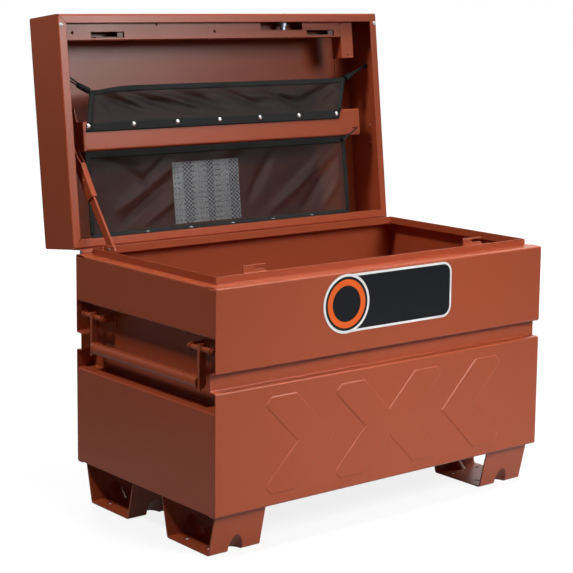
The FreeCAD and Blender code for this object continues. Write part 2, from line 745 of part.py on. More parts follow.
def crossbar():
    """Hat-section bar across the lid, its two feet on the inside of the top."""
    near, far = from_back(cell("crossbar_low")), from_back(cell("crossbar_high"))
    face = inside(cell("crossbar_depth"))
    under = lid_top - sheet
    foot_width = cell("crossbar_foot")
    outline = [
        (near + foot_width, under), (near + foot_width, under - sheet), (near, under - sheet),
        (near, face), (far, face), (far, under - sheet), (far - foot_width, under - sheet),
        (far - foot_width, under), (far + sheet, under), (far + sheet, face + sheet),
        (near - sheet, face + sheet), (near - sheet, under),
    ]
    bar = prism("YZ", outline, (-crossbar_half, crossbar_half),
                [(bend, outline[3:5]), (inner_bend, outline[9:11])])
    relief_half = rivet_head + 2 * sheet
    relief = block(
        (-crossbar_half, 4 * sheet - crossbar_half), (far - sheet, far + 2 * sheet),
        (slot_z - relief_half, slot_z + relief_half))
    eye_x = crossbar_half - cell("keyhole_inset")
    eye_y = from_back(cell("keyhole_back"))
    slot_edge = cell("keyhole_slot") / 2
    face_span = (face, face + sheet)
    keyhole = fuse(
        rod("Z", face_span, (eye_x, eye_y), cell("keyhole_radius")),
        block((eye_x - cell("keyhole_length"), eye_x), (eye_y - slot_edge, eye_y + slot_edge), face_span))
    return cut(bar, relief, keyhole)


stay_top_y = from_back(cell("stay_top_back"))
stay_top_z = inside(cell("stay_top_depth"))
slot_z = stay_top_z - cell("stay_slot_shift")
slot_half = cell("stay_rivet") + cell("stay_slot_play")
rivet_head = slot_half + cell("stay_top_cap")
lid_finish("crossbar", crossbar())


def crossbar_end():
    """Plate on the crossbar's left end, with the slot that the stay's top rivet slides in."""
    near, far = from_back(cell("crossbar_low")), from_back(cell("crossbar_high"))
    face = inside(cell("crossbar_depth"))
    slot_end = stay_top_y - cell("stay_slot")
    margin = 2 * slot_half
    outline = [
        (near, face), (far, face), (far, stay_top_z - margin - margin / 2),
        (slot_end - margin, stay_top_z - margin), (slot_end - margin, stay_top_z + margin),
        (far, lid_top - sheet), (near, lid_top - sheet),
    ]
    span = (-crossbar_half - cell("crossbar_end"), -crossbar_half)
    plate = prism("YZ", outline, span)
    slot = fuse(
        block(span, (slot_end, stay_top_y), (slot_z - slot_half, slot_z + slot_half)),
        rod("X", span, (stay_top_y, slot_z), slot_half),
        rod("X", span, (slot_end, slot_z), slot_half))
    return cut(plate, slot)


lid_finish("crossbar_end_plate", crossbar_end())


# --- latch -----------------------------------------------------------------------------------

strike_y = -half_depth + cell("strike_line")
strike_plate = cell("strike_plate")
strike_half = cell("strike_width") / 2
bar_plate = cell("bar_plate")
bar_y = strike_y + strike_plate / 2 + cell("bar_gap")
travel = cell("latch_travel")
bar_middle = bar_low + cell("bar_height") / 2
guide_places = (-cell("guide_left"), cell("guide_right"))
lock_x = cell("lock_across")
cam_lift = cell("cam_radius") * cosine(Size(45))
cam_pin_x = lock_x + cam_lift
cam_pin_z = lock_z + cam_lift


def strike(centre):
    """Z-section strike on the inside of the lip, notched from the right for the latch dog."""
    lip = -half_depth + cell("front_ledge") + sheet
    shelf = lip_top - cell("shelf_drop")
    top = shoulder + cell("strike_rise")
    outline = [
        (lip, shoulder + sheet), (lip, shelf), (strike_y - strike_plate / 2, shelf),
        (strike_y - strike_plate / 2, top), (strike_y + strike_plate / 2, top),
        (strike_y + strike_plate / 2, shelf - strike_plate), (lip + strike_plate, shelf - strike_plate),
        (lip + strike_plate, shoulder + sheet),
    ]
    bent = prism("YZ", outline, (centre - strike_half, centre + strike_half))
    notch = block((centre + strike_half - cell("notch_length"), centre + strike_half),
                  (strike_y - strike_plate, strike_y + strike_plate),
                  (notch_low, notch_low + cell("notch_height")))
    return cut(bent, notch)


strikes = {
    "left": cell("strike_left_inset") - half_width,
    "right": half_width - cell("strike_right_inset"),
}
for name, centre in strikes.items():
    finish(f"strike_{name}", strike(centre))


channel_face = inside(cell("channel_depth"))
channel_edge = cell("channel_width") - half_depth
channel_wall = -half_depth + sheet
guard_right = half_width - cell("guard_inset")
guard_left = guard_right - cell("guard_width")
channel_span = (sheet - half_width, guard_left - cell("weld_gap"))


def latch_channel():
    """Web and floor of the channel behind the lid's front wall."""
    low = channel_face + sheet
    top = channel_face + cell("channel_rise")
    outline = [
        (channel_edge, low), (channel_edge, top), (channel_wall, top),
        (channel_wall, top - sheet), (channel_edge - sheet, top - sheet), (channel_edge - sheet, low),
    ]
    return prism("YZ", outline, channel_span,
                 [(bend, [outline[1]]), (inner_bend, [outline[4]])])


def latch_face():
    """Face of the channel, with a slot for each strike and a bay for the lock."""
    z_span = (channel_face, channel_face + sheet)
    face = block(channel_span, (channel_wall + cell("weld_gap"), channel_edge), z_span)
    slots = [
        block((centre - strike_half - cell("slot_before"), centre + strike_half + cell("slot_after")),
              (strike_y - cell("slot_front"), strike_y + cell("slot_rear")), z_span)
        for centre in strikes.values()
    ]
    bay = block((lock_x - cell("bay_left"), lock_x + cell("bay_right")),
                (channel_wall, strike_y - cell("bay_edge")), z_span)
    row = cell("face_pilot_line") - half_depth
    places = [
        (cell("face_pilot_inset") - half_width, row), (-cell("face_pilot_middle"), row),
        (-cell("face_pilot_third"), row - cell("face_pilot_step")),
    ]
    holes = [rod("Z", z_span, place, cell("face_pilot")) for place in places]
    return cut(face, bay, *slots, *holes)


lid_finish("latch_channel", latch_channel())
lid_finish("latch_face", latch_face())


def guard_box():
    """Box across the lock end of the channel, open towards the lid's top and front wall."""
    low, top = channel_face, channel_face + cell("guard_rise")
    start = channel_wall + cell("weld_gap")
    near = channel_edge + cell("guard_length")
    box = block((guard_left, guard_right), (start, near), (low, top))
    hollow = block((guard_left + sheet, guard_right - sheet), (start, near - sheet), (low + sheet, top))
    hole = rod("Z", (low, low + sheet), ((guard_left + guard_right) / 2, near - cell("guard_hole_inset")),
               cell("guard_hole"))
    return cut(box, hollow, hole)


lid_finish("lock_guard_box", guard_box())


dog_ends = {name: centre + strike_half + travel for name, centre in strikes.items()}


def latch_bar():
    """Sliding bar with a lug for the lock cam."""
    plate_y = (bar_y, bar_y + bar_plate)
    bar_top = bar_low + cell("bar_height")
    bar_left = dog_ends["left"] - strike_half - 2 * travel
    bar = block((bar_left, dog_ends["right"]), plate_y, (bar_low, bar_top))
    pin = cell("cam_pin_radius")
    lug_half = pin + travel / 4
    lug_top = lock_z + cell("cam_radius") + 2 * pin
    lug = block((cam_pin_x - lug_half, cam_pin_x + lug_half), plate_y, (bar_top, lug_top))
    slot_half_width = pin + cell("cam_play")
    slot_end = pin + cell("cam_room")
    cam_slot = block((cam_pin_x - slot_half_width, cam_pin_x + slot_half_width), plate_y,
                     (cam_pin_z - slot_end, lock_z + cell("cam_radius") + slot_end))
    reach = cell("guide_radius") + cell("guide_play")
    slots = [
        block((place - reach, place + travel + reach), plate_y, (bar_middle - reach, bar_middle + reach))
        for place in guide_places
    ]
    return cut(fuse(bar, lug), cam_slot, *slots)


lid_finish("latch_bar", latch_bar())
for name, end in dog_ends.items():
    lid_finish(f"latch_dog_{name}", block(
        (end - cell("dog_length"), end), (strike_y - 2 * strike_plate, bar_y),
        (bar_low, bar_low + cell("dog_height"))))
channel_web = channel_edge - sheet
guide = cell("guide_radius")
guide_seat = bar_y - cell("guide_play")
lid_finish("latch_guides", group(*[
    fuse(rod("Y", (guide_seat, channel_web), (place, bar_middle), guide),
         rod("Y", (guide_seat - cell("guide_head"), guide_seat), (place, bar_middle),
             guide + cell("guide_lap")))
    for place in guide_places
]))

lock_face = -half_depth - cell("lock_proud")
lock_span = (lock_face, -half_depth + cell("lock_length"))
collar_span = (-half_depth + sheet, -half_depth + sheet + cell("lock_collar_height"))
barrel = fuse(
    rod("Y", lock_span, (lock_x, lock_z), cell("lock_radius")),
    rod("Y", collar_span, (lock_x, lock_z), cell("lock_radius") + cell("lock_collar")))
lid_finish("lock_barrel", cut(barrel, rod(
    "Y", lock_span, (lock_x, lock_z), cell("plug_radius") + running_play)))

cam_y = bar_y - cell("cam_gap") - cell("cam_plate")
cam_edge = cell("cam_pin_radius") + cell("cam_margin")
slant = cam_edge * cosine(Size(45))
cam_arm = prism("XZ", [
    (lock_x - slant, lock_z + slant), (lock_x + slant, lock_z - slant),
    (cam_pin_x + slant, cam_pin_z - slant), (cam_pin_x - slant, cam_pin_z + slant),
], (cam_y, cam_y + cell("cam_plate")))
lid_finish("lock_plug", fuse(
    rod("Y", (lock_face, cam_y), (lock_x, lock_z), cell("plug_radius")),
    rod("Y", (cam_y, cam_y + cell("cam_plate")), (lock_x, lock_z), cell("plug_radius")),
    rod("Y", (cam_y, cam_y + cell("cam_plate")), (cam_pin_x, cam_pin_z), cam_edge),
    rod("Y", (cam_y, bar_y + bar_plate), (cam_pin_x, cam_pin_z), cell("cam_pin_radius")),
    cam_arm))


# --- hinge -----------------------------------------------------------------------------------

KNUCKLES = 23
hinge_half = cell("hinge_length") / 2
knuckle_pitch = cell("hinge_length") / KNUCKLES
knuckle_gap = cell("knuckle_gap")
hinge_centre = (hinge_y, hinge_z)


def hinge_leaf(up):
    """Leaf of the piano hinge; the chest's has the first and every second knuckle."""
    own = 0 if up < 0 else 1
    plate_y = (half_depth, half_depth + cell("leaf"))
    plate_z = (hinge_z, hinge_z + cell("leaf_height")) if up > 0 else (hinge_z - cell("leaf_height"), hinge_z)
    clear = cell("knuckle_radius") + knuckle_gap
    clear_z = (hinge_z, hinge_z + clear) if up > 0 else (hinge_z - clear, hinge_z)
    knuckles = []
    notches = []
    for index in range(KNUCKLES):
        low = index * knuckle_pitch - hinge_half
        high = low + knuckle_pitch
        if index % 2 == own:
            knuckles.append(rod("X", (low + knuckle_gap / 2, high - knuckle_gap / 2), hinge_centre,
                                cell("knuckle_radius")))
        else:
            notches.append(block((low - knuckle_gap / 2, high + knuckle_gap / 2), plate_y, clear_z))
    plate = block((knuckle_gap / 2 - hinge_half, hinge_half - knuckle_gap / 2), plate_y, plate_z)
    bore = rod("X", (-hinge_half, hinge_half), hinge_centre, cell("hinge_pin_radius") + running_play)
    return cut(fuse(plate, *knuckles), bore, *notches)


finish("hinge_body_leaf", hinge_leaf(-1))
lid_finish("hinge_lid_leaf", hinge_leaf(1))
pin_head = (cell("hinge_pin_radius") + cell("knuckle_radius")) / 2
pin_end = hinge_half - knuckle_gap / 2
pin_tip = pin_end + cell("hinge_pin_head")
finish("hinge_pin", fuse(
    rod("X", (-pin_end, pin_end), hinge_centre, cell("hinge_pin_radius")),
    rod("X", (-pin_tip, -pin_end), hinge_centre, pin_head),
    rod("X", (pin_end, pin_tip), hinge_centre, pin_head)))


# --- folding stay ----------------------------------------------------------------------------

stay_low = (half_depth - cell("stay_pivot_inset"), shoulder + cell("stay_pivot_rise"))
top_reach = stay_top_y - hinge_y
top_rise = stay_top_z - hinge_z
stay_high = (hinge_y + top_reach * cosine(open_angle) + top_rise * sine(open_angle),
             hinge_z + top_rise * cosine(open_angle) - top_reach * sine(open_angle))
stay_run = stay_high[0] - stay_low[0]
stay_climb = stay_high[1] - stay_low[1]
stay_straight = root(stay_run * stay_run + stay_climb * stay_climb)
along = cell("stay_share")
over = cell("stay_over") / stay_straight
elbow = (stay_low[0] + along * stay_run + over * stay_climb,
         stay_low[1] + along * stay_climb - over * stay_run)
rivet = cell("stay_rivet")
rivet_hole = rivet + running_play
rivet_cap = rivet + cell("stay_cap")
cap_height = cell("stay_cap_height")
washer_gap = cell("stay_washer_gap")


def length_between(start, end):
    run = end[0] - start[0]
    climb = end[1] - start[1]
    return root(run * run + climb * climb)


def stay_place(thing, start, end):
    """Put a link drawn along Y from the origin onto the line from start to end."""
    holder = doc.addObject("Part::Compound", "Placed")
    holder.Links = [thing]
    turn = bearing(end[0] - start[0], end[1] - start[1])
    holder.Placement.Rotation = FreeCAD.Rotation(FreeCAD.Vector(1, 0, 0), turn.number)
    bind(holder, "Placement.Rotation.Angle", turn)
    bind(holder, "Placement.Base.y", start[0])
    bind(holder, "Placement.Base.z", start[1])
    return holder


bracket_half = cell("stay_bracket_half")
ear_right = stay_x - cell("stay_ear_gap")
ear = (ear_right - strike_plate, ear_right)
ear_top = stay_low[1] + rivet_cap + cell("stay_ear_margin")
bracket_top = lip_top - cell("shelf_drop")
lip_inside = cell("end_ledge") + sheet - half_width
bracket_floor = shoulder + strike_plate
bracket = prism("XZ", [
    (lip_inside, shoulder), (ear[1], shoulder), (ear[1], ear_top),
    (ear[0], ear_top), (ear[0], bracket_floor),
    (lip_inside + strike_plate, bracket_floor), (lip_inside + strike_plate, bracket_top),
    (lip_inside, bracket_top),
], (stay_low[0] - bracket_half, stay_low[0] + bracket_half))
finish("stay_bracket", cut(bracket, rod("X", ear, stay_low, rivet_hole)))

link_half = cell("stay_link") / 2
lower_length = length_between(stay_low, elbow)
end_radius = cell("stay_width") / 2
link_span = (stay_x - link_half, stay_x + link_half)
finish("stay_lower_link", stay_place(cut(
    fuse(block(link_span, (0, lower_length), (-end_radius, end_radius)),
         rod("X", link_span, (0, 0), end_radius), rod("X", link_span, (lower_length, 0), end_radius)),
    rod("X", link_span, (0, 0), rivet_hole), rod("X", link_span, (lower_length, 0), rivet_hole),
), stay_low, elbow))
cap_seat = link_span[1] + washer_gap
finish("stay_lower_rivet", fuse(
    rod("X", (ear[0] - cap_height, cap_seat + cap_height), stay_low, rivet),
    rod("X", (ear[0] - cap_height, ear[0]), stay_low, rivet_cap),
    rod("X", (ear[1], link_span[0] - washer_gap), stay_low, (rivet + rivet_cap) / 2),
    rod("X", (cap_seat, cap_seat + cap_height), stay_low, rivet_cap)))

upper_length = length_between(elbow, stay_high)
tail = upper_length + cell("stay_tail")
cheek_back = end_radius + cell("stay_fold_gap")
web_face = -end_radius - cell("stay_web_gap")
web_back = web_face - cell("stay_cheek")
web_start = upper_length - cell("stay_web")
cheek_outline = [
    (0, cheek_back), (tail, cheek_back), (tail, web_back), (web_start, web_back),
    (web_start - cell("stay_web_slant"), -cheek_back), (0, -cheek_back),
]
link_body = fuse(
    prism("YZ", cheek_outline, (stay_x - cheek_half, stay_x + cheek_half)),
    rod("X", (stay_x - cheek_half, stay_x + cheek_half), (0, 0), cheek_back))
channel_gap = (stay_x - cheek_half + cell("stay_cheek"), stay_x + cheek_half - cell("stay_cheek"))
finish("stay_upper_link", stay_place(cut(
    link_body,
    block(channel_gap, (-2 * cheek_back, tail), (web_face, 2 * cheek_back)),
    block(channel_gap, (-2 * cheek_back, web_start), (2 * web_back, web_face)),
    rod("X", (stay_x - cheek_half, stay_x + cheek_half), (0, 0), rivet_hole),
    rod("X", (stay_x - cheek_half, stay_x + cheek_half), (upper_length, 0), rivet_hole),
), stay_high, elbow))
left_cheek = stay_x - cheek_half
right_cheek = stay_x + cheek_half
finish("stay_elbow_rivet", fuse(
    rod("X", (left_cheek - cap_height, right_cheek + cap_height), elbow, rivet),
    rod("X", (left_cheek - cap_height, left_cheek), elbow, rivet_cap),
    rod("X", (right_cheek, right_cheek + cap_height), elbow, rivet_cap)))
top_seat = -crossbar_half + washer_gap
finish("stay_top_rivet", fuse(
    rod("X", (left_cheek - cap_height, top_seat + cap_height), stay_high, rivet),
    rod("X", (left_cheek - cap_height, left_cheek), stay_high, rivet_cap),
    rod("X", (top_seat, top_seat + cap_height), stay_high, rivet_head)))


# --- handles ---------------------------------------------------------------------------------

pin_z = floor_level + cell("handle_height")
grip_z = pin_z - cell("handle_drop")
arm_outer = cell("handle_reach")
arm_inner = cell("handle_reach") - cell("arm_plate")
handle_pin = cell("handle_pin")
pin_inner = (arm_outer + arm_inner) / 2 - cell("handle_pin_length") / 2
pin_outer = pin_inner + cell("handle_pin_length")
bracket_plate = cell("bracket_plate")


def handle_arm(side, end, pin_x):
    inner, outer = (pin_x + away * side * cell("arm_width") / 2 for away in (-1, 1))
    head = pin_z + cell("arm_head")
    outline = [
        (inner, head), (outer, head), (outer, grip_z - cell("arm_tip")), (inner, grip_z - cell("arm_heel")),
    ]
    span = sorted_span(end, arm_inner, arm_outer)
    return cut(prism("XZ", outline, span), rod("Y", span, (pin_x, pin_z), handle_pin + running_play))


def handle_pin_rod(end, pin_x):
    """Pin with a weld collar on each side of the arm."""
    collar = handle_pin + cell("collar_lap")
    width = cell("collar_width")
    return fuse(
        rod("Y", sorted_span(end, pin_inner, pin_outer), (pin_x, pin_z), handle_pin),
        rod("Y", sorted_span(end, arm_inner - width, arm_inner), (pin_x, pin_z), collar),
        rod("Y", sorted_span(end, arm_outer, arm_outer + width), (pin_x, pin_z), collar))


def handle_bracket(side, end, pin_x):
    """Bracket on the recess wall: a base plate and two ears that carry one pin."""
    wall = half_width - cell("recess_depth")
    base = block(sorted_span(side, wall, wall + bracket_plate), sorted_span(end, pin_inner, pin_outer),
                 (pin_z - cell("bracket_below"), pin_z + cell("bracket_above")))
    pieces = [base]
    ear_half = handle_pin + cell("bracket_ear")
    end_gap = cell("bracket_end")
    for near in (pin_inner + end_gap, pin_outer - end_gap - bracket_plate):
        span = sorted_span(end, near, near + bracket_plate)
        pieces.append(block(sorted_span(side, wall + bracket_plate, half_width - cell("handle_inset")),
                            span, (pin_z - ear_half, pin_z + ear_half)))
        pieces.append(rod("Y", span, (pin_x, pin_z), ear_half))
    bore = rod("Y", sorted_span(end, pin_inner, pin_outer), (pin_x, pin_z), handle_pin + running_play)
    return cut(fuse(*pieces), bore)


for side, side_name in ((-1, "left"), (1, "right")):
    pin_x = side * (half_width - cell("handle_inset"))
    grip_span = (-arm_inner, arm_inner)
    finish(f"{side_name}_grip", cut(
        rod("Y", grip_span, (pin_x, grip_z), cell("grip_radius")),
        rod("Y", grip_span, (pin_x, grip_z), cell("grip_radius") - cell("grip_wall"))))
    for end, end_name in ((-1, "front"), (1, "rear")):
        finish(f"{side_name}_{end_name}_arm", handle_arm(side, end, pin_x))
        finish(f"{side_name}_{end_name}_pin", handle_pin_rod(end, pin_x))
        finish(f"{side_name}_{end_name}_bracket", handle_bracket(side, end, pin_x))


# --- pockets, cords, trim --------------------------------------------------------------------

mesh = cell("mesh")
soft_gap = cell("soft_gap")
snap_radius = cell("snap_radius")
snap_shank = snap_radius / 2
snap_hole = snap_shank + soft_gap
snap_inset = snap_radius + cell("snap_edge")
pocket_left = cell("pocket_edge") - crossbar_half
pocket_right = crossbar_half - cell("pocket_short")
pocket_wide = half_width - cell("pocket_inset")


def upper_pocket():
    """Mesh pocket on the crossbar, leaning in towards the lid's top."""
    low = from_back(cell("pocket_low") - sheet)
    fold = from_back(cell("crossbar_high") + sheet)
    high = from_back(cell("pocket_top"))
    face = inside(cell("crossbar_depth")) - soft_gap
    lean = cell("pocket_lean")
    outline = [
        (low, face), (fold, face), (high, face + lean), (high, face + lean - mesh),
        (fold, face - mesh), (low, face - mesh),
    ]
    panel = prism("YZ", outline, (pocket_left, pocket_wide))
    deep = (face - 2 * mesh, face + 2 * lean)
    slants = [
        prism("XY", [(pocket_left, low), (-pocket_wide, high), (pocket_left, high)], deep),
        prism("XY", [(pocket_right, low), (pocket_wide, low), (pocket_wide, high)], deep),
    ]
    holes = [rod("Z", deep, (place, snap_row), snap_hole) for place in upper_snaps]
    return cut(panel, *slants, *holes)


snap_row = from_back(cell("pocket_low") + 2 * snap_radius)
UPPER_RIVETS = 7
snap_first = pocket_left + snap_inset
snap_pitch = (pocket_right - snap_inset - snap_first) / (UPPER_RIVETS - 1)
upper_snaps = [snap_first + snap_pitch * index for index in range(UPPER_RIVETS)]
lid_finish("upper_pocket", upper_pocket())
snap_seat = inside(cell("crossbar_depth"))
snap_lift = snap_seat - mesh - 2 * soft_gap
lid_finish("upper_pocket_rivets", group(*[
    fuse(rod("Z", (snap_lift, snap_seat), (place, snap_row), snap_shank),
         rod("Z", (snap_lift - cell("snap_head"), snap_lift), (place, snap_row), snap_radius))
    for place in upper_snaps
]))

hem_face = half_depth - cell("lid_flange")
bag_right = crossbar_half - cell("bag_short")
LOWER_RIVETS = 5
snap_first = pocket_left + cell("snap_end_left")
snap_pitch = (bag_right - cell("snap_end_right") - snap_first) / (LOWER_RIVETS - 1)
lower_snaps = [snap_first + snap_pitch * index for index in range(LOWER_RIVETS)]
lower_snap_z = inside(cell("snap_depth"))
bag_edge = inside(cell("bag_strip"))
bag_face = inside(cell("bag_depth"))
bag_back = hem_face - soft_gap
bag_front = from_back(cell("crossbar_low")) + soft_gap
bag_turn = bag_face + cell("bag_turn")
bag = prism("YZ", [
    (bag_back, bag_edge), (bag_back - mesh, bag_edge), (bag_back - mesh, bag_face),
    (bag_front, bag_face), (bag_front, bag_turn), (bag_front + mesh, bag_turn),
    (bag_front + mesh, bag_face + mesh), (bag_back, bag_face + mesh),
], (pocket_left, bag_right))
lid_finish("lower_pocket", cut(bag, *[
    rod("Y", (bag_back - mesh, bag_back), (place, lower_snap_z), snap_hole) for place in lower_snaps
]))
low_lift = hem_face - mesh - 2 * soft_gap
lid_finish("lower_pocket_rivets", group(*[
    fuse(rod("Y", (low_lift, hem_face), (place, lower_snap_z), snap_shank),
         rod("Y", (low_lift - cell("snap_head"), low_lift), (place, lower_snap_z), snap_radius))
    for place in lower_snaps
]))


def strand(start, end):
    """A straight length of elastic cord between two places in the shut lid."""
    start = FreeCAD.Vector(*[as_size(value).number for value in start])
    end = FreeCAD.Vector(*[as_size(value).number for value in end])
    thing = doc.addObject("Part::Feature", "Strand")
    thing.Shape = Part.makeCylinder(cell("cord_radius").number, (end - start).Length)
    thing.Placement = FreeCAD.Placement(start, FreeCAD.Rotation(FreeCAD.Vector(0, 0, 1), end - start))
    return thing


cord_back = cell("pocket_top") + cell("cord_radius") + cell("cord_rise")
cord_deep = inside(cell("crossbar_depth") + cell("pocket_lean"))
cord_end = cord_deep + cell("cord_deepen")
climb = cord_back + cell("cord_climb")
spread = cell("cord_spread")
wall_x = half_width - sheet - cell("cord_wall_gap")
corner_x = pocket_wide + cell("cord_corner")
lid_finish("elastic_left", group(
    strand((-corner_x, from_back(cord_back), cord_deep), (-wall_x, from_back(climb), cord_end)),
    strand((cell("cord_inset") - pocket_wide, from_back(cord_back + spread), cord_deep),
           (-wall_x, from_back(climb + spread), cord_end))))
lid_finish("elastic_right", strand(
    (corner_x, from_back(cord_back), cord_deep), (wall_x, from_back(climb), cord_end)))

label_x = -cell("label_left")
label_back = cell("label_back")
label_z = lid_top - sheet
lid_finish("label", block(
    (label_x, label_x + cell("label_width")),
    (from_back(label_back + cell("label_height")), from_back(label_back)),
    (label_z - cell("label_thick"), label_z)))

for side, side_name in ((-1, "left"), (1, "right")):
    lid_finish(f"bumper_{side_name}", rod(
        "Z", (shoulder + soft_gap, rim),
        (side * (half_width - cell("bumper_inset")), cell("bumper_line") - half_depth),
        cell("bumper_radius")))

badge_z = shoulder - cell("badge_drop")
badge_half = cell("badge_height") / 2
badge_y = (-half_depth - cell("badge_thick"), -half_depth)
disc_x = -cell("badge_disc")
badge_end = disc_x - badge_half + cell("badge_length")
tail_half = badge_half - cell("badge_step")
badge_outline = [
    (disc_x, badge_z - tail_half), (badge_end, badge_z - tail_half),
    (badge_end, badge_z + tail_half), (disc_x, badge_z + tail_half),
]
finish("badge_plate", fuse(
    rod("Y", badge_y, (disc_x, badge_z), badge_half),
    prism("XZ", badge_outline, badge_y, [(cell("badge_corner"), badge_outline[1:3])])))


# --- checks and files ------------------------------------------------------------------------

doc.recompute()
for thing in doc.Objects:
    if "Invalid" in thing.State or "Error" in thing.State:
        raise RuntimeError(f"{thing.Label} is in error")
os.makedirs("parts", exist_ok=True)
for part in parts:
    if part.Shape.isNull() or not part.Shape.isValid():
        raise RuntimeError(f"{part.Label} has no valid shape")
    part.Shape.exportStep(f"parts/{part.Label}.step")
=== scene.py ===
import json
import math

import bmesh
import bpy
from mathutils import Matrix, Vector, noise


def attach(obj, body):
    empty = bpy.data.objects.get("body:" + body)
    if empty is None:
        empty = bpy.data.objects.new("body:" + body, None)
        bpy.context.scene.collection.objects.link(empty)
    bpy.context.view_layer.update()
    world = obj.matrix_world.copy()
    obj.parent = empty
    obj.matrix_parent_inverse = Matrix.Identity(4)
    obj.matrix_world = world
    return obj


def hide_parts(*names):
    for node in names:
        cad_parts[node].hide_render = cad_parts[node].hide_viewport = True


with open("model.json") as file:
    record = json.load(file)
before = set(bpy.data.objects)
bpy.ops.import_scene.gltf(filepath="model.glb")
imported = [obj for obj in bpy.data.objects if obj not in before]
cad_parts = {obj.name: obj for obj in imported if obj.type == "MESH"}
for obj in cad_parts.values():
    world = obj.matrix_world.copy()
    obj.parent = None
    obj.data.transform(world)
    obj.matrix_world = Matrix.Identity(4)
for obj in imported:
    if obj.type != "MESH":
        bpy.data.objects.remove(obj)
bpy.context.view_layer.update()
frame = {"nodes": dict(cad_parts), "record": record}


# ---- Chest and lid shells --------------------------------------------------------------------
# Front, back, ends, floor and lid: 2 mm sheet steel, folded on a press brake and welded.
# All of it, with the feet, brackets, crossbar, handles and stay, is powder coated in one satin
# rust brown. The coat has a fine orange-peel skin and the wide panels are never quite flat.

class Wire:
    """A shader socket that takes part in arithmetic. Each operator adds one Math node."""

    def __init__(self, finish, socket):
        self.finish, self.socket = finish, socket

    def maths(self, operation, *others):
        return self.finish.maths(operation, self, *others)

    def __add__(self, other):
        return self.maths("ADD", other)

    def __sub__(self, other):
        return self.maths("SUBTRACT", other)

    def __rsub__(self, other):
        return self.finish.maths("SUBTRACT", other, self)

    def __mul__(self, other):
        return self.maths("MULTIPLY", other)

    def __truediv__(self, other):
        return self.maths("DIVIDE", other)

    def __pow__(self, other):
        return self.maths("POWER", other)

    def __gt__(self, other):
        return self.maths("GREATER_THAN", other)

    def __lt__(self, other):
        return self.maths("LESS_THAN", other)

    def __abs__(self):
        return self.maths("ABSOLUTE")

    def sine(self):
        return self.maths("SINE")

    def highest(self, other):
        return self.maths("MAXIMUM", other)

    __radd__, __rmul__ = __add__, __mul__


class Finish:
    """One material on the object: its node tree and the one way that a node is added to it."""

    def __init__(self, name, **sockets):
        self.material = bpy.data.materials.new(name)
        self.material.use_nodes = True
        self.tree = self.material.node_tree
        self.shader = self.tree.nodes["Principled BSDF"]
        self.set(**sockets)

    def add(self, kind, settings=(), sockets=(), out=0):
        node = self.tree.nodes.new(kind)
        for key, value in dict(settings).items():
            setattr(node, key, value)
        for key, value in dict(sockets).items():
            self.feed(node.inputs[key], value)
        return Wire(self, node.outputs[out])

    def maths(self, operation, *values):
        return self.add("ShaderNodeMath", {"operation": operation}, dict(enumerate(values)))

    def feed(self, socket, value):
        if isinstance(value, Wire):
            self.tree.links.new(value.socket, socket)
        elif socket.type == "RGBA" and len(value) == 3:
            socket.default_value = (*value, 1)
        else:
            socket.default_value = value

    def set(self, **sockets):
        """Feed the shader's own sockets; an underscore stands for the space in a name."""
        for key, value in sockets.items():
            self.feed(self.shader.inputs[key.replace("_", " ")], value)

    def place(self, shift=(0, 0, 0), scale=(1, 1, 1)):
        return self.add("ShaderNodeMapping", {}, {
            "Vector": self.add("ShaderNodeTexCoord", out="Object"),
            "Location": shift, "Scale": scale}, out="Vector")

    def cloud(self, where, per_metre, detail=2.0):
        """Soft noise from 0 to 1, with that many swells in a metre."""
        return self.add("ShaderNodeTexNoise", {}, {
            "Vector": where, "Scale": per_metre, "Detail": detail, "Roughness": 0.5}, out="Fac")

    def parts(self, vector):
        split = self.add("ShaderNodeSeparateXYZ", {}, {0: vector})
        return [Wire(self, socket) for socket in split.socket.node.outputs]

    def ramp(self, value, low, high):
        """Soft step from 0 at low to 1 at high."""
        return self.add("ShaderNodeMapRange", {"interpolation_type": "SMOOTHSTEP"}, {
            "Value": value, "From Min": low, "From Max": high})

    def mix(self, share, first, second):
        return self.add("ShaderNodeMix", {"data_type": "RGBA"}, {0: share, 6: first, 7: second}, out=2)

    def emboss(self, height, rounded=0):
        """Feed a height in metres to the shader's normal, on edges rounded to that radius."""
        sockets = {"Distance": 1.0, "Height": height}
        if rounded:
            sockets["Normal"] = self.add("ShaderNodeBevel", {"samples": 6}, {"Radius": rounded})
        self.set(Normal=self.add("ShaderNodeBump", {}, sockets, out="Normal"))


def dress(finish, *nodes):
    """Give CAD nodes a finish."""
    for name in nodes:
        for slot in frame["nodes"][name].material_slots:
            slot.material = finish.material


powder = Finish("powder_coat", **{"Specular_IOR_Level": 0.34})
here = powder.place()
orange_peel = powder.cloud(here, 620) * 3.2e-5
oil_canning = powder.cloud(here, 7.5, 1.0) * 7e-4
powder.set(
    Base_Color=powder.mix(powder.cloud(here, 3.1, 3.0), (0.355, 0.066, 0.023), (0.395, 0.075, 0.028)),
    Roughness=powder.cloud(here, 14, 3.0) * 0.08 + 0.31)
powder.emboss(orange_peel + oil_canning, rounded=0.0018)
dress(powder, *[row["node"] for row in frame["record"]["subparts"] if row["material_slot"] == "rust_paint"])


# ---- Welds -----------------------------------------------------------------------------------
# Short runs of MIG weld hold the feet, the lock guard, the crossbar and the handle brackets.
# Each run is a row of overlapping puddles, laid by hand and painted over with the rest.

def settle(name, bm, finish, body, replaced=(), crisp=40):
    """Make a named piece of a finished bmesh, and let it ride on a body."""
    mesh = bpy.data.meshes.new(name)
    bm.to_mesh(mesh)
    bm.free()
    mesh.materials.append(finish.material)
    mesh.shade_smooth()
    mesh.set_sharp_from_angle(angle=math.radians(crisp))
    obj = bpy.data.objects.new(name, mesh)
    bpy.context.scene.collection.objects.link(obj)
    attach(obj, body)
    if replaced:
        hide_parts(*replaced)
    return obj


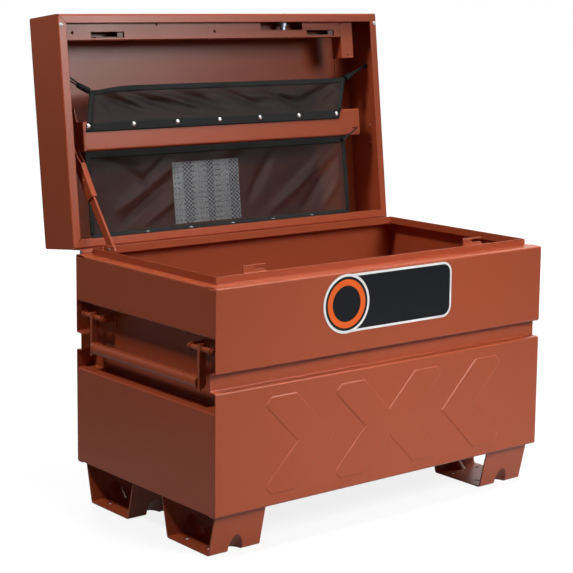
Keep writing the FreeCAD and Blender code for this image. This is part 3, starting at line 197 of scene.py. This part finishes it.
def push(bm, ring, start, run, sizes):
    """Push a ring along a run, through a list of sizes, and close it. The faces come back."""
    edges = list({edge for vert in ring for edge in vert.link_edges})
    rims, made = list(edges), set(ring)
    step = run / (len(sizes) - 1)
    centre = start.copy()
    for last, size in zip(sizes, sizes[1:]):
        grown = bmesh.ops.extrude_edge_only(bm, edges=edges)["geom"]
        verts = [item for item in grown if isinstance(item, bmesh.types.BMVert)]
        edges = [item for item in grown if isinstance(item, bmesh.types.BMEdge)]
        made.update(verts)
        centre += step
        bmesh.ops.translate(bm, verts=verts, vec=step)
        bmesh.ops.scale(bm, verts=verts, vec=(size / last,) * 3, space=Matrix.Translation(-centre))
    bmesh.ops.holes_fill(bm, edges=rims + edges, sides=len(ring))
    faces = list({face for vert in made for face in vert.link_faces})
    bmesh.ops.recalc_face_normals(bm, faces=faces)
    return faces


def bead(bm, start, end, radius, up):
    """A weld run from start to end: a ring pushed along the seam, swelling at each puddle."""
    run = end - start
    along = run.normalized()
    side = along.cross(Vector(up)).normalized()
    turn = Matrix((side, along.cross(side), along)).transposed().to_4x4()
    steps = max(4, round(run.length / (radius * 0.45)))
    tip = 0.5
    sizes = [tip]
    for step in range(1, steps):
        puddle = 0.2 * abs(math.sin(step * 0.85))
        uneven = 0.1 * noise.noise(Vector((step * 0.7, start.x * 90, start.y * 90)))
        sizes.append(0.86 + puddle + uneven)
    ring = bmesh.ops.create_circle(
        bm, segments=8, radius=radius * tip, matrix=Matrix.Translation(start) @ turn)["verts"]
    push(bm, ring, start, run, [*sizes, tip])


def mm(*values):
    return Vector(value / 1000 for value in values)


both = (-1, 1)
upward, backward = (0, 0, 1), (0, 1, 0)
foot_seams = [end * 145 + edge * 91.5 for end in both for edge in both]
foot_top, rim_corner, lip_corner, bracket_seam, bracket_top = 87.3, 455.2, 433.4, 418.4, 398.6

bm = bmesh.new()
for side in both:
    for y in foot_seams:
        for near, far in ((330, 352), (372, 391), (411, 433)):
            bead(bm, mm(side * near, y, foot_top), mm(side * far, y, foot_top), 0.0021, upward)
    bead(bm, mm(side * rim_corner, -252.2, 547.5), mm(side * rim_corner, -252.2, 540.5), 0.0021, backward)
    for end in both:
        y = end * 223
        bead(bm, mm(side * lip_corner, y, 552), mm(side * lip_corner, y, 562), 0.0014, backward)
        for near, far in ((160, 184), (205, 231)):
            bead(bm, mm(side * bracket_seam, end * near, bracket_top),
                 mm(side * bracket_seam, end * far, bracket_top), 0.0018, upward)
settle("chest_welds", bm, powder, "chest")

hinge_line, opening = Vector((0, 0.2605, 0.550)), math.radians(-96.5)
opened = Matrix.Translation(hinge_line) @ Matrix.Rotation(opening, 4, "X") @ Matrix.Translation(-hinge_line)
lid_back, lid_mouth = 0.254, 0.552


def in_lid(x, back, depth):
    """A place in the open lid: millimetres across, from the lid's back edge and in from its mouth."""
    return opened @ Vector((x / 1000, lid_back - back / 1000, lid_mouth + depth / 1000))


out_of_mouth = opened.to_3x3() @ Vector((0, 0, -1))
guard_side, guard_edge, lid_top, corner = 349.7, 12.8, 116.2, 455.4

bm = bmesh.new()
for near, far, radius in ((454, 470, 0.0022), (480, 503, 0.0024)):
    bead(bm, in_lid(guard_side, near, guard_edge), in_lid(guard_side, far, guard_edge), radius, out_of_mouth)
for x in (-396, -240, -60, 120, 300):
    for back, length, radius in ((276.2, 34, 0.0020), (451.2, 30, 0.0018)):
        bead(bm, in_lid(x, back, lid_top), in_lid(x + length, back, lid_top), radius, out_of_mouth)
for side in both:
    for back in (1.6, 506.4):
        bead(bm, in_lid(side * corner, back, 8), in_lid(side * corner, back, 34), 0.0016, (side, 0, 0))
settle("lid_welds", bm, powder, "lid")


# ---- Hinge pin -------------------------------------------------------------------------------
# A long zinc-plated wire through the knuckles of the piano hinge. It was drawn, so its streaks
# run along it, and its ends are left bare between the two coated leaves.

zinc = Finish("zinc_plate", Metallic=1.0)
here = zinc.place()
streak = zinc.cloud(zinc.place(scale=(8, 260, 260)), 1.0, 3.0)
zinc.set(
    Base_Color=zinc.mix(zinc.cloud(here, 45, 4.0), (0.45, 0.46, 0.48), (0.62, 0.64, 0.68)),
    Roughness=streak * 0.18 + 0.26)
zinc.emboss(streak * 1.5e-5 + zinc.cloud(here, 500) * 1e-5)
dress(zinc, "hinge_pin")


# ---- Handles ---------------------------------------------------------------------------------
# A drop handle at each end: a steel tube between two flat arms, hung on pins in the recess.
# Each arm is welded round the tube's end, and all of it is coated brown.

def turned(bm, profile, place, steps=24):
    """Turn a half profile of (radius, height) points, in metres, about the Z of a place."""
    others = set(bm.verts)
    verts = [bm.verts.new((radius, 0, height)) for radius, height in profile]
    edges = [bm.edges.new(pair) for pair in zip(verts, verts[1:])]
    bmesh.ops.spin(bm, geom=verts + edges, cent=(0, 0, 0), axis=(0, 0, 1), dvec=(0, 0, 0),
                   angle=math.tau, steps=steps, use_merge=True)
    bmesh.ops.remove_doubles(bm, verts=[vert for vert in bm.verts if vert not in others], dist=1e-6)
    shell = [vert for vert in bm.verts if vert not in others]
    bmesh.ops.recalc_face_normals(bm, faces=list({face for vert in shell for face in vert.link_faces}))
    bmesh.ops.transform(bm, matrix=place, verts=shell)


def facing(where, towards):
    """A place whose Z points towards a direction."""
    return Matrix.Translation(where) @ Vector(towards).to_track_quat("Z", "Y").to_matrix().to_4x4()


tube_weld = [(0.0122, 0.0003), (0.0147, 0.0003), (0.0146, 0.0012), (0.0136, 0.0030), (0.0124, 0.0042),
             (0.0122, 0.0003)]
grip_line, grip_height, arm_face, handle_reach = 449, 351, 193, 0.4614

for name, side in (("left", -1), ("right", 1)):
    bm = bmesh.new()
    for end in both:
        turned(bm, tube_weld, facing(mm(side * grip_line, end * arm_face, grip_height), (0, -end, 0)), 32)
    trimmed = bmesh.ops.bisect_plane(
        bm, geom=bm.verts[:] + bm.edges[:] + bm.faces[:], plane_co=(side * handle_reach, 0, 0),
        plane_no=(side, 0, 0), clear_outer=True)["geom_cut"]
    bmesh.ops.holes_fill(bm, edges=[item for item in trimmed if isinstance(item, bmesh.types.BMEdge)])
    settle(f"{name}_handle_welds", bm, powder, f"{name}_handle")


# ---- Folding stay ----------------------------------------------------------------------------
# Two steel links that lock a little past straight; the upper one is a folded channel. The rivets
# at the stay's two ends are bare steel, and the one at its elbow was coated with the links.

rivet_steel = Finish("rivet_steel", Metallic=1.0)
here = rivet_steel.place()
rivet_steel.set(
    Base_Color=rivet_steel.mix(rivet_steel.cloud(here, 260, 3.0), (0.52, 0.52, 0.53), (0.74, 0.74, 0.75)),
    Roughness=rivet_steel.cloud(here, 420) * 0.16 + 0.24)
rivet_steel.emboss(rivet_steel.cloud(here, 900) * 2e-5)
dress(rivet_steel, "stay_lower_rivet", "stay_top_rivet")
dress(powder, "stay_elbow_rivet")


# ---- Latch and lock --------------------------------------------------------------------------
# A flat steel bar slides behind the channel on shouldered studs and carries two welded dogs.
# Bar, dogs and studs are mill steel, oiled and gone brown; the lock is die-cast and plated.

mill_steel = Finish("oiled_mill_steel", **{"Specular_IOR_Level": 0.4})
here = mill_steel.place()
scale_marks = mill_steel.cloud(mill_steel.place(scale=(18, 160, 160)), 1.0, 4.0)
mill_steel.set(
    Base_Color=mill_steel.mix(scale_marks, (0.10, 0.045, 0.030), (0.30, 0.15, 0.10)),
    Roughness=mill_steel.cloud(here, 130, 3.0) * 0.2 + 0.34)
mill_steel.emboss(scale_marks * 3e-5 + mill_steel.cloud(here, 700) * 2e-5, rounded=0.0006)
dress(mill_steel, "latch_bar", "latch_dog_left", "latch_dog_right", "latch_guides")

lock_plate = Finish("lock_plating", Metallic=0.6)
here = lock_plate.place()
lock_plate.set(
    Base_Color=lock_plate.mix(lock_plate.cloud(here, 240, 3.0), (0.30, 0.34, 0.42), (0.50, 0.54, 0.62)),
    Roughness=lock_plate.cloud(here, 420) * 0.16 + 0.36)
lock_plate.emboss(lock_plate.cloud(here, 620) * 1.5e-5, rounded=0.0006)
dress(lock_plate, "lock_barrel", "lock_plug")


# ---- Badge -----------------------------------------------------------------------------------
# A screen-printed aluminium plate glued to the front: black field inside a raised white rim, a
# white-rimmed disc with a plain orange ring at its left end. It carries no words.

badge = Finish("badge_print", **{"Specular_IOR_Level": 0.18})
across, _, up = badge.parts(badge.place(shift=(0.125, 0, -0.482)))
plate_right, plate_half, corner, plate_margin = 0.299, 0.0605, 0.025, 0.0047
disc_inner, disc_outer, ring_inner, ring_outer = 0.0562, 0.0617, 0.0375, 0.0505
soft_edge = 0.0005
black, orange, white = (0.006, 0.0065, 0.009), (0.80, 0.13, 0.02), (0.80, 0.80, 0.79)


def distance(right, high):
    return (right * right + high * high) ** 0.5


def band(value, low, high):
    return badge.ramp(value, low, low + soft_edge) * (1 - badge.ramp(value, high, high + soft_edge))


past_side, past_top = across - (plate_right - corner), abs(up) - (plate_half - corner)
outside = distance(past_side.highest(0.0), past_top.highest(0.0))
inside = past_side.highest(past_top).maths("MINIMUM", 0.0)
from_edge = outside + inside - corner
from_centre = distance(across, up)
plate_rim = badge.ramp(from_edge, -plate_margin - soft_edge, -plate_margin) * (across > 0)
rim = band(from_centre, disc_inner, disc_outer).highest(plate_rim * (1 - (from_centre < disc_outer)))
ring = band(from_centre, ring_inner, ring_outer)
badge.set(
    Base_Color=badge.mix(rim, badge.mix(ring, black, orange), white),
    Roughness=badge.cloud(badge.place(), 300) * 0.1 + 0.32)
badge.emboss((rim + ring * 0.5) * 1.2e-4 + badge.cloud(badge.place(), 1200) * 4e-6)
dress(badge, "badge_plate")


# ---- Rubber bumpers --------------------------------------------------------------------------
# Two small white rubber buttons pressed into the lid's mouth flange, so that the shut lid
# lands softly on the shoulder. Each has a domed face with a shallow ring round it.

rubber = Finish("white_rubber", **{"Specular_IOR_Level": 0.4})
here = rubber.place()
rubber.set(
    Base_Color=rubber.mix(rubber.cloud(here, 300, 3.0), (0.80, 0.80, 0.78), (0.70, 0.69, 0.66)),
    Roughness=rubber.cloud(here, 700) * 0.1 + 0.45)
rubber.emboss(rubber.cloud(here, 900) * 2e-5)

button = [(0.0048, 0.0), (0.0050, 0.0010), (0.0046, 0.0017), (0.0040, 0.0018), (0.0036, 0.0014),
          (0.0033, 0.0019), (0.0022, 0.0025), (0.0, 0.0027)]
bm = bmesh.new()
for side in both:
    turned(bm, button, facing(in_lid(side * 450, 484, 0), out_of_mouth))
settle("bumpers", bm, rubber, "lid", ["bumper_left", "bumper_right"])


# ---- Mesh pockets ----------------------------------------------------------------------------
# Two pockets of black coated polyester mesh, edged with folded black webbing and riveted to the
# crossbar and to the lid's hem. They hang slack, with soft folds that run down from the corners.

UPPER_FLAT, LOWER_FLAT = (0.756, 0.1025), (0.751, 0.2194)
KNIT_PITCH, RIB_PITCH = 0.0021, 0.0016


def woven(name, closed, dark, pale):
    """Knitted mesh: its holes open where the knit's wave passes the closed share."""
    finish = Finish(name, **{"Specular_IOR_Level": 0.2})
    thread = finish.add("ShaderNodeUVMap", {"uv_map": "weave"})
    u, v, _ = finish.parts(thread)
    knit = abs((u * (math.tau / KNIT_PITCH)).sine() * (v * (math.tau / KNIT_PITCH)).sine())
    finish.set(
        Base_Color=finish.mix(finish.cloud(thread, 26, 4.0), dark, pale),
        Roughness=finish.cloud(thread, 90) * 0.2 + 0.42,
        Alpha=1 - finish.ramp(knit, closed, closed + 0.12))
    finish.emboss((1 - knit) * 1.2e-4)
    return finish


single_mesh = woven("pocket_mesh", 0.47, (0.011, 0.0095, 0.010), (0.022, 0.019, 0.020))
double_mesh = woven("doubled_pocket_mesh", 0.74, (0.010, 0.0075, 0.0075), (0.020, 0.015, 0.015))

webbing = Finish("black_webbing", **{"Specular_IOR_Level": 0.2})
here = webbing.place()
ribs = (webbing.parts(webbing.add("ShaderNodeUVMap", {"uv_map": "weave"}))[0] * (math.tau / RIB_PITCH)).sine()
webbing.set(
    Base_Color=webbing.mix(webbing.cloud(here, 120, 3.0), (0.006, 0.0065, 0.0065), (0.014, 0.015, 0.015)),
    Roughness=webbing.cloud(here, 300) * 0.2 + 0.55)
webbing.emboss(ribs * 8e-5 + webbing.cloud(here, 700) * 4e-5)


def fold(x, back, start, end, width, height):
    """Height of a soft fold that runs across the cloth from start to end."""
    way = Vector(end) - Vector(start)
    at = Vector((x, back)) - Vector(start)
    along = at.dot(way) / way.length_squared
    off = abs(at.x * way.y - at.y * way.x) / way.length
    reach = math.sin(math.pi * min(max(along * 0.9 + 0.05, 0), 1))
    return height * reach * math.exp(-(off / width) ** 2)


def hump(share):
    """Slackness from 0 at a held edge, through 1 in the middle, to 0 at the other edge."""
    return math.sin(math.pi * min(max(share, 0), 1))


def upper_cloth(u, v):
    """The upper pocket: u across, v up from its riveted hem to its free edge, on the open lid."""
    x = (-396 + 727 * u) * (1 - v) + (-378 + 756 * u) * v
    tied_left, tied_right = math.exp(-(u / 0.09) ** 2), math.exp(-((1 - u) / 0.05) ** 2)
    x += v * (8 * tied_left - 6 * tied_right)
    back = 252 + 100 * v - v * (9 * tied_left - 2 * tied_right)
    hem_top, hem_depth, lean = 0.22, 17.0, 15.0
    slack = max(0.0, v - hem_top) / (1 - hem_top)
    folds = sum(fold(x, back, *line) for line in (
        ((-360, 345), (-210, 282), 8, 9), ((-290, 342), (-120, 285), 8, 8), ((-150, 340), (10, 284), 9, 8),
        ((-230, 340), (-60, 290), 6, -6), ((-40, 344), (120, 286), 8, 8), ((95, 342), (225, 284), 8, 8),
        ((345, 345), (190, 285), 9, 10), ((370, 338), (290, 290), 7, 7), ((-375, 335), (-330, 290), 7, -5),
        ((0, 315), (240, 318), 10, -5)))
    ripple = 3.0 * noise.noise(Vector((x * 0.016, back * 0.045, 4.0)))
    loose = hump(slack) * min(1, 12 * u, 12 * (1 - u))
    return in_lid(x, back, hem_depth + lean * slack + loose * (folds + ripple + 3.0))


def lower_cloth(u, v):
    """The lower pocket: u across, v up from the hem rivets to the webbing behind the crossbar."""
    x = -396 + 751 * u
    length, hem, rise = 219.4, 15, 188.0
    run = length * v
    if run < hem:
        return in_lid(x, 21.2, 9.0 + run)
    share = (run - hem) / (length - hem)
    back = 21.2 + share * rise
    folds = sum(fold(x, back, *line) for line in (
        ((352, 205), (96, 30), 12, -12), ((340, 170), (200, 28), 12, 10), ((345, 120), (262, 30), 11, -9),
        ((330, 195), (230, 120), 8, 8), ((-150, 175), (-330, 70), 11, -12), ((-180, 190), (-250, 130), 7, 10),
        ((-150, 150), (-330, 32), 11, 12), ((-120, 120), (-260, 30), 9, -8), ((-380, 196), (-250, 168), 9, 8),
        ((-300, 175), (-215, 120), 8, 9), ((60, 205), (-60, 120), 14, 7), ((130, 190), (40, 60), 12, 8)))
    ripple = 4.0 * noise.noise(Vector((x * 0.013, back * 0.019, 9.0)))
    loose = hump(share) ** 0.7 * min(1, 14 * u, 14 * (1 - u))
    x += 3.5 * noise.noise(Vector((back * 0.03, 2.0, 1.0))) * min(run / 60, 1)
    return in_lid(x, back, 25.2 + loose * (folds + ripple + 5.0))


def cloth(name, surface, size, columns, rows, finish, span=((0, 1), (0, 1))):
    """A patch of a pocket's surface. Its UV map is the flat cloth in metres."""
    bm = bmesh.new()
    bmesh.ops.create_grid(bm, x_segments=columns, y_segments=rows, size=0.5)
    layer = bm.loops.layers.uv.new("weave")
    (u0, u1), (v0, v1) = span
    flat = {vert: (u0 + (u1 - u0) * (vert.co.x + 0.5), v0 + (v1 - v0) * (vert.co.y + 0.5))
            for vert in bm.verts}
    for face in bm.faces:
        for loop in face.loops:
            u, v = flat[loop.vert]
            loop[layer].uv = (u * size[0], v * size[1])
    for vert, (u, v) in flat.items():
        vert.co = surface(u, v)
    return settle(name, bm, finish, "lid", crisp=180)


def edging(name, surface, size, span, columns, rows, thick=1.6):
    """Webbing folded over an edge of the cloth: a strip of the same surface with a thickness."""
    strip = cloth(name, surface, size, columns, rows, webbing, span)
    wall = strip.modifiers.new("folded", "SOLIDIFY")
    wall.thickness, wall.offset = thick / 1000, 0.0
    return strip


upper = cloth("upper_pocket_cloth", upper_cloth, UPPER_FLAT, 180, 30, double_mesh)
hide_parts("upper_pocket")
upper_trim = [edging(f"upper_pocket_{edge}", upper_cloth, UPPER_FLAT, *shape) for edge, *shape in (
    ("hem", ((0, 1), (0, 0.215)), 60, 6, 1.2),
    ("top_edge", ((0, 1), (0.87, 1)), 120, 4),
    ("left_edge", ((0, 0.0195), (0.2, 0.98)), 3, 24, 2.0),
    ("right_edge", ((0.9845, 1), (0.2, 0.98)), 3, 24, 2.0))]

lower = cloth("lower_pocket_cloth", lower_cloth, LOWER_FLAT, 180, 54, single_mesh)
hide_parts("lower_pocket")
lower_trim = [edging(f"lower_pocket_{edge}", lower_cloth, LOWER_FLAT, *shape) for edge, *shape in (
    ("hem", ((0, 1), (0, 0.105)), 90, 8, 1.2),
    ("top_edge", ((0, 1), (0.92, 1)), 90, 5),
    ("left_edge", ((0, 0.015), (0.1, 0.98)), 3, 40, 2.0),
    ("right_edge", ((0.985, 1), (0.1, 0.98)), 3, 40, 2.0))]


# ---- Pocket rivets ---------------------------------------------------------------------------
# Nickel-plated pop rivets through the webbing, seven along the crossbar and five along the hem.
# Each has a domed head on a thin washer flange, with the small dimple that its mandrel leaves.

nickel = Finish("nickel", Metallic=1.0)
here = nickel.place()
nickel.set(
    Base_Color=nickel.mix(nickel.cloud(here, 330), (0.78, 0.78, 0.78), (0.90, 0.90, 0.89)),
    Roughness=nickel.cloud(here, 500) * 0.12 + 0.24)
nickel.emboss(nickel.cloud(here, 800) * 1.2e-5)

rivet_head = [(0.0052, 0.0), (0.0053, 0.0004), (0.0047, 0.0008), (0.0040, 0.0016), (0.0029, 0.0023),
              (0.0016, 0.0027), (0.0010, 0.0027), (0.0007, 0.0021), (0.0, 0.0020)]
to_front = opened.to_3x3() @ Vector((0, -1, 0))

for name, count, first, reach, back, depth, outward in (
        ("upper", 7, -388.5, 712, 265, 15.4, out_of_mouth), ("lower", 5, -252, 478, 22.6, 16, to_front)):
    bm = bmesh.new()
    for index in range(count):
        x = first + reach / (count - 1) * index
        turned(bm, rivet_head, facing(in_lid(x, back, depth), outward), 20)
    settle(f"{name}_pocket_pop_rivets", bm, nickel, "lid", [f"{name}_pocket_rivets"])


# ---- Elastic cords ---------------------------------------------------------------------------
# Braided 4 mm shock cord ties the upper pocket's top corners to the lid's end walls. At each
# corner the webbing is gathered into a pinched strap, and the cord is knotted at the wall.

braid = Finish("shock_cord", **{"Specular_IOR_Level": 0.25})
u, v, _ = braid.parts(braid.add("ShaderNodeUVMap", {"uv_map": "weave"}))
turns, per_metre = 4.0, 420
plait = ((u * turns + v * per_metre) * math.tau).sine() * ((u * turns - v * per_metre) * math.tau).sine()
braid.set(
    Base_Color=braid.mix(braid.ramp(plait, -0.6, 0.6), (0.006, 0.006, 0.007), (0.026, 0.027, 0.029)),
    Roughness=braid.cloud(braid.place(), 500) * 0.1 + 0.6)
braid.emboss(plait * 1.2e-4)


def strand(bm, start, end, radii, flat=1.0, steps=28):
    """A soft strand pulled from start to end through a list of radii, squeezed to a flat share."""
    layer = bm.loops.layers.uv.verify()
    place = facing(start, end - start)
    ring = bmesh.ops.create_circle(bm, segments=12, radius=radii[0], matrix=place)["verts"]
    bmesh.ops.scale(bm, verts=ring, vec=(1, flat, 1), space=place.inverted())
    sizes = []
    for step in range(steps + 1):
        share = step / steps * (len(radii) - 1)
        low = min(int(share), len(radii) - 2)
        sizes.append(radii[low] + (radii[low + 1] - radii[low]) * (share - low))
    side, across, along = place.to_3x3().col
    for face in push(bm, ring, start, end - start, sizes):
        for loop in face.loops:
            arm = loop.vert.co - start
            loop[layer].uv = (math.atan2(arm.dot(side), arm.dot(across)) / math.tau, arm.dot(along))


def new_strands():
    bm = bmesh.new()
    bm.loops.layers.uv.new("weave")
    return bm


cord, knot = (0.0020, 0.0018, 0.0018, 0.0018, 0.0019), (0.0018, 0.0036, 0.0042, 0.0034, 0.0020)
gathered_webbing = (0.0088, 0.0092, 0.0090, 0.0084, 0.0074)

for name, corner, pinch, lines in (
        ("left", (-371, 342, 32), (-397, 356, 36.0),
         (((-392, 352, 36.5), (-453.6, 392, 42)), ((-394, 359, 36.0), (-453.6, 401, 42)))),
        ("right", (370, 351, 32), (396, 361, 35.5),
         (((394, 359.5, 35), (453.6, 380, 42)), ((392, 362, 36), (453.6, 384, 42))))):
    bm = new_strands()
    first_start, first_end = (in_lid(*place) for place in lines[0])
    knot_length = (first_end - first_start).normalized() * 0.008
    for start, wall in lines:
        strand(bm, in_lid(*start), in_lid(*wall), cord)
        strand(bm, in_lid(*wall) - knot_length, in_lid(*wall), knot, steps=10)
    settle(f"elastic_{name}_cord", bm, braid, "lid", [f"elastic_{name}"], crisp=60)
    bm = new_strands()
    strand(bm, in_lid(*corner), in_lid(*pinch), gathered_webbing, flat=0.75, steps=16)
    settle(f"upper_pocket_{name}_corner_strap", bm, webbing, "lid", crisp=60)

bm = new_strands()
strand(bm, in_lid(341, 200, 23.6), in_lid(386, 227, 15.8), (0.0130, 0.0105, 0.0072, 0.0048, 0.0036, 0.0040),
       flat=0.25, steps=16)
settle("lower_pocket_corner_strap", bm, webbing, "lid", crisp=60)


# ---- Lid screws ------------------------------------------------------------------------------
# Two button-head screws close spare holes in the lid's right end; they are painted over. Each
# hole shows a head inside the lid and one outside.

screw_head = [(0.0050, 0.0), (0.0050, 0.0008), (0.0043, 0.0018), (0.0026, 0.0024), (0.0016, 0.0024),
              (0.0014, 0.0014), (0.0, 0.0014)]
bm = bmesh.new()
for back in (187, 230):
    for inward, wall in ((-1, 454.9), (1, 457.0)):
        turned(bm, screw_head, facing(in_lid(wall, back, 44), (inward, 0, 0)), 20)
settle("lid_end_screws", bm, powder, "lid")


# ---- Label -----------------------------------------------------------------------------------
# A silvered foil label stuck under the lid's top, behind the lower pocket. It has a plain ruled
# table with three screened columns, and no words.

foil = Finish("label_foil", Metallic=0.9, **{"Specular_IOR_Level": 0.8})
across, _, up = foil.parts(foil.place())
smudged = foil.cloud(foil.place(scale=(1, 0.01, 0.01)), 160, 3.0) > 0.5
row_height, column_width, screen_across, screen_up = 0.0125, 0.064, 0.0110, 0.0095
rows = ((up / row_height).maths("FRACT") < 0.3) * smudged
columns = (across / column_width).maths("FRACT") < 0.03
table = (rows * 0.45).highest(columns)
dots = ((across * (math.tau / screen_across)).sine() * (up * (math.tau / screen_up)).sine()) < 0.0
screened = (across > -0.075) * (across < -0.049) + (across > -0.008) * (across < 0.013) + (
    across > 0.059) * (across < 0.086)
foil.set(
    Base_Color=foil.mix(table * (1 - screened) + screened * dots * 0.85, (0.94, 0.97, 1.0), (0.18, 0.20, 0.24)),
    Roughness=foil.cloud(foil.place(), 400) * 0.1 + 0.39)
foil.emboss(foil.cloud(foil.place(), 90) * 2e-4)
dress(foil, "label")


# ---- Ground, light and camera ----------------------------------------------------------------
# The chest stands on a plain pale floor under large soft lamps, seen from its left front.
# Floor and room show white to the camera, and the floor keeps the chest's shadow.

ground = Finish("pale_ground", Roughness=0.9, Base_Color=(0.16, 0.16, 0.16), Emission_Strength=1.0,
                **{"Specular_IOR_Level": 0.0})


def backdrop(sheet, mirrored):
    """How white a sheet shows: wholly to the camera and through glass, and in part in a reflection."""
    seen = sheet.add("ShaderNodeLightPath", out="Is Camera Ray")
    glossy, through = (Wire(sheet, seen.socket.node.outputs[name])
                       for name in ("Is Glossy Ray", "Is Transmission Ray"))
    return seen.highest(through).highest(glossy * mirrored)


x, y, _ = ground.parts(ground.place())
from_chest = distance(x, y)
ahead = ground.ramp(y - x * 0.3, 0.1, -0.5)
far_ahead, under_chest = ground.ramp(from_chest, 1.4, 2.6), ground.ramp(from_chest, 0.7, 1.2)
mirrored = ahead * (1 - far_ahead * 0.8) + (1 - ahead) * 0.35 * (1 - under_chest)
paleness = 0.84 + ground.ramp(from_chest, 1.0, 3.2) * 0.16
ground.set(Emission_Color=ground.mix(backdrop(ground, mirrored) * paleness, (0, 0, 0), (1, 1, 1)))

bm = bmesh.new()
bmesh.ops.create_grid(bm, x_segments=2, y_segments=2, size=12)
mesh = bpy.data.meshes.new("ground")
bm.to_mesh(mesh)
bm.free()
mesh.materials.append(ground.material)
floor = bpy.data.objects.new("ground", mesh)
bpy.context.scene.collection.objects.link(floor)


class Studio(Finish):
    """The room round the chest, with nodes that are added the same way."""

    def __init__(self, name):
        world = bpy.data.worlds.new(name)
        bpy.context.scene.world = world
        world.use_nodes = True
        self.tree, self.shader = world.node_tree, world.node_tree.nodes["Background"]


room = Studio("studio")
x, y, _ = room.parts(room.add("ShaderNodeTexCoord", out="Generated"))
behind_chest = room.ramp(x * 0.63 + y * 0.78, 0.35, 0.70) * 0.95 + 0.05
room.set(Color=(1, 1, 1), Strength=backdrop(room, behind_chest).highest(0.025))


def lamp(name, where, size, level, aim, spread=180):
    """A soft box that lights what it faces to a level of 1 for a level of 1."""
    data = bpy.data.lights.new(name, "AREA")
    away = Vector(aim) - Vector(where)
    data.shape, data.size, data.size_y = "RECTANGLE", size[0], size[1]
    data.spread = math.radians(spread)
    half = data.spread / 2
    gathered = math.tan(half) / (math.tan(half) - half) if spread < 180 else 1
    data.energy = level * math.pi ** 2 * away.length_squared / gathered
    obj = bpy.data.objects.new(name, data)
    obj.location = where
    obj.rotation_euler = away.to_track_quat("-Z", "Y").to_euler()
    obj.visible_camera = False
    bpy.context.scene.collection.objects.link(obj)
    return obj


lamp("top_box", (0.1, -0.25, 3.3), (1.4, 1.4), 0.50, (0, 0, 0.5))
lamp("key_box", (0.45, -2.6, 2.1), (1.2, 1.2), 1.42, (0, -0.45, 0), 50)
lamp("front_box", (1.1, -3.6, 2.1), (1.1, 1.1), 0.22, (0, 0, 0.6))
lamp("left_box", (-2.15, -0.3, 3.5), (0.5, 0.5), 0.60, (-0.46, 0, 0.5))
lamp("right_box", (3.3, 0.9, 1.9), (1.5, 1.5), 0.45, (0.46, 0, 0.5))
back = lamp("back_box", (1.2, 3.4, 2.2), (1.5, 1.5), 0.80, (0, 0.25, 0.5))
back.visible_glossy = False
sheen = lamp("sheen_box", (0.95, -1.95, 1.68), (0.9, 0.6), 0.44, (-0.2, 0.3, 0.9))
sheen.visible_diffuse = False

lens = bpy.data.cameras.new("camera")
focal_pixels, frame_pixels = 1626.485, 573
lens.sensor_width = 36
lens.lens = lens.sensor_width * focal_pixels / frame_pixels
lens.shift_y = -0.08115
lens.clip_start, lens.clip_end = 0.1, 60
camera = bpy.data.objects.new("camera", lens)
bpy.context.scene.collection.objects.link(camera)
yaw, pitch, roll = (math.radians(angle) for angle in (38.91803, 8.71333, 0.59427))
forward = Vector((math.sin(yaw) * math.cos(pitch), math.cos(yaw) * math.cos(pitch), -math.sin(pitch)))
level_right = Vector((math.cos(yaw), -math.sin(yaw), 0))
level_up = level_right.cross(forward)
right = level_right * math.cos(roll) + level_up * math.sin(roll)
top = level_up * math.cos(roll) - level_right * math.sin(roll)
camera.matrix_world = Matrix.Translation((-2.27765, -2.72263, 1.11434)) @ Matrix(
    (right, top, -forward)).transposed().to_4x4()
bpy.context.scene.camera = camera
bpy.context.scene.view_settings.view_transform = "Standard"
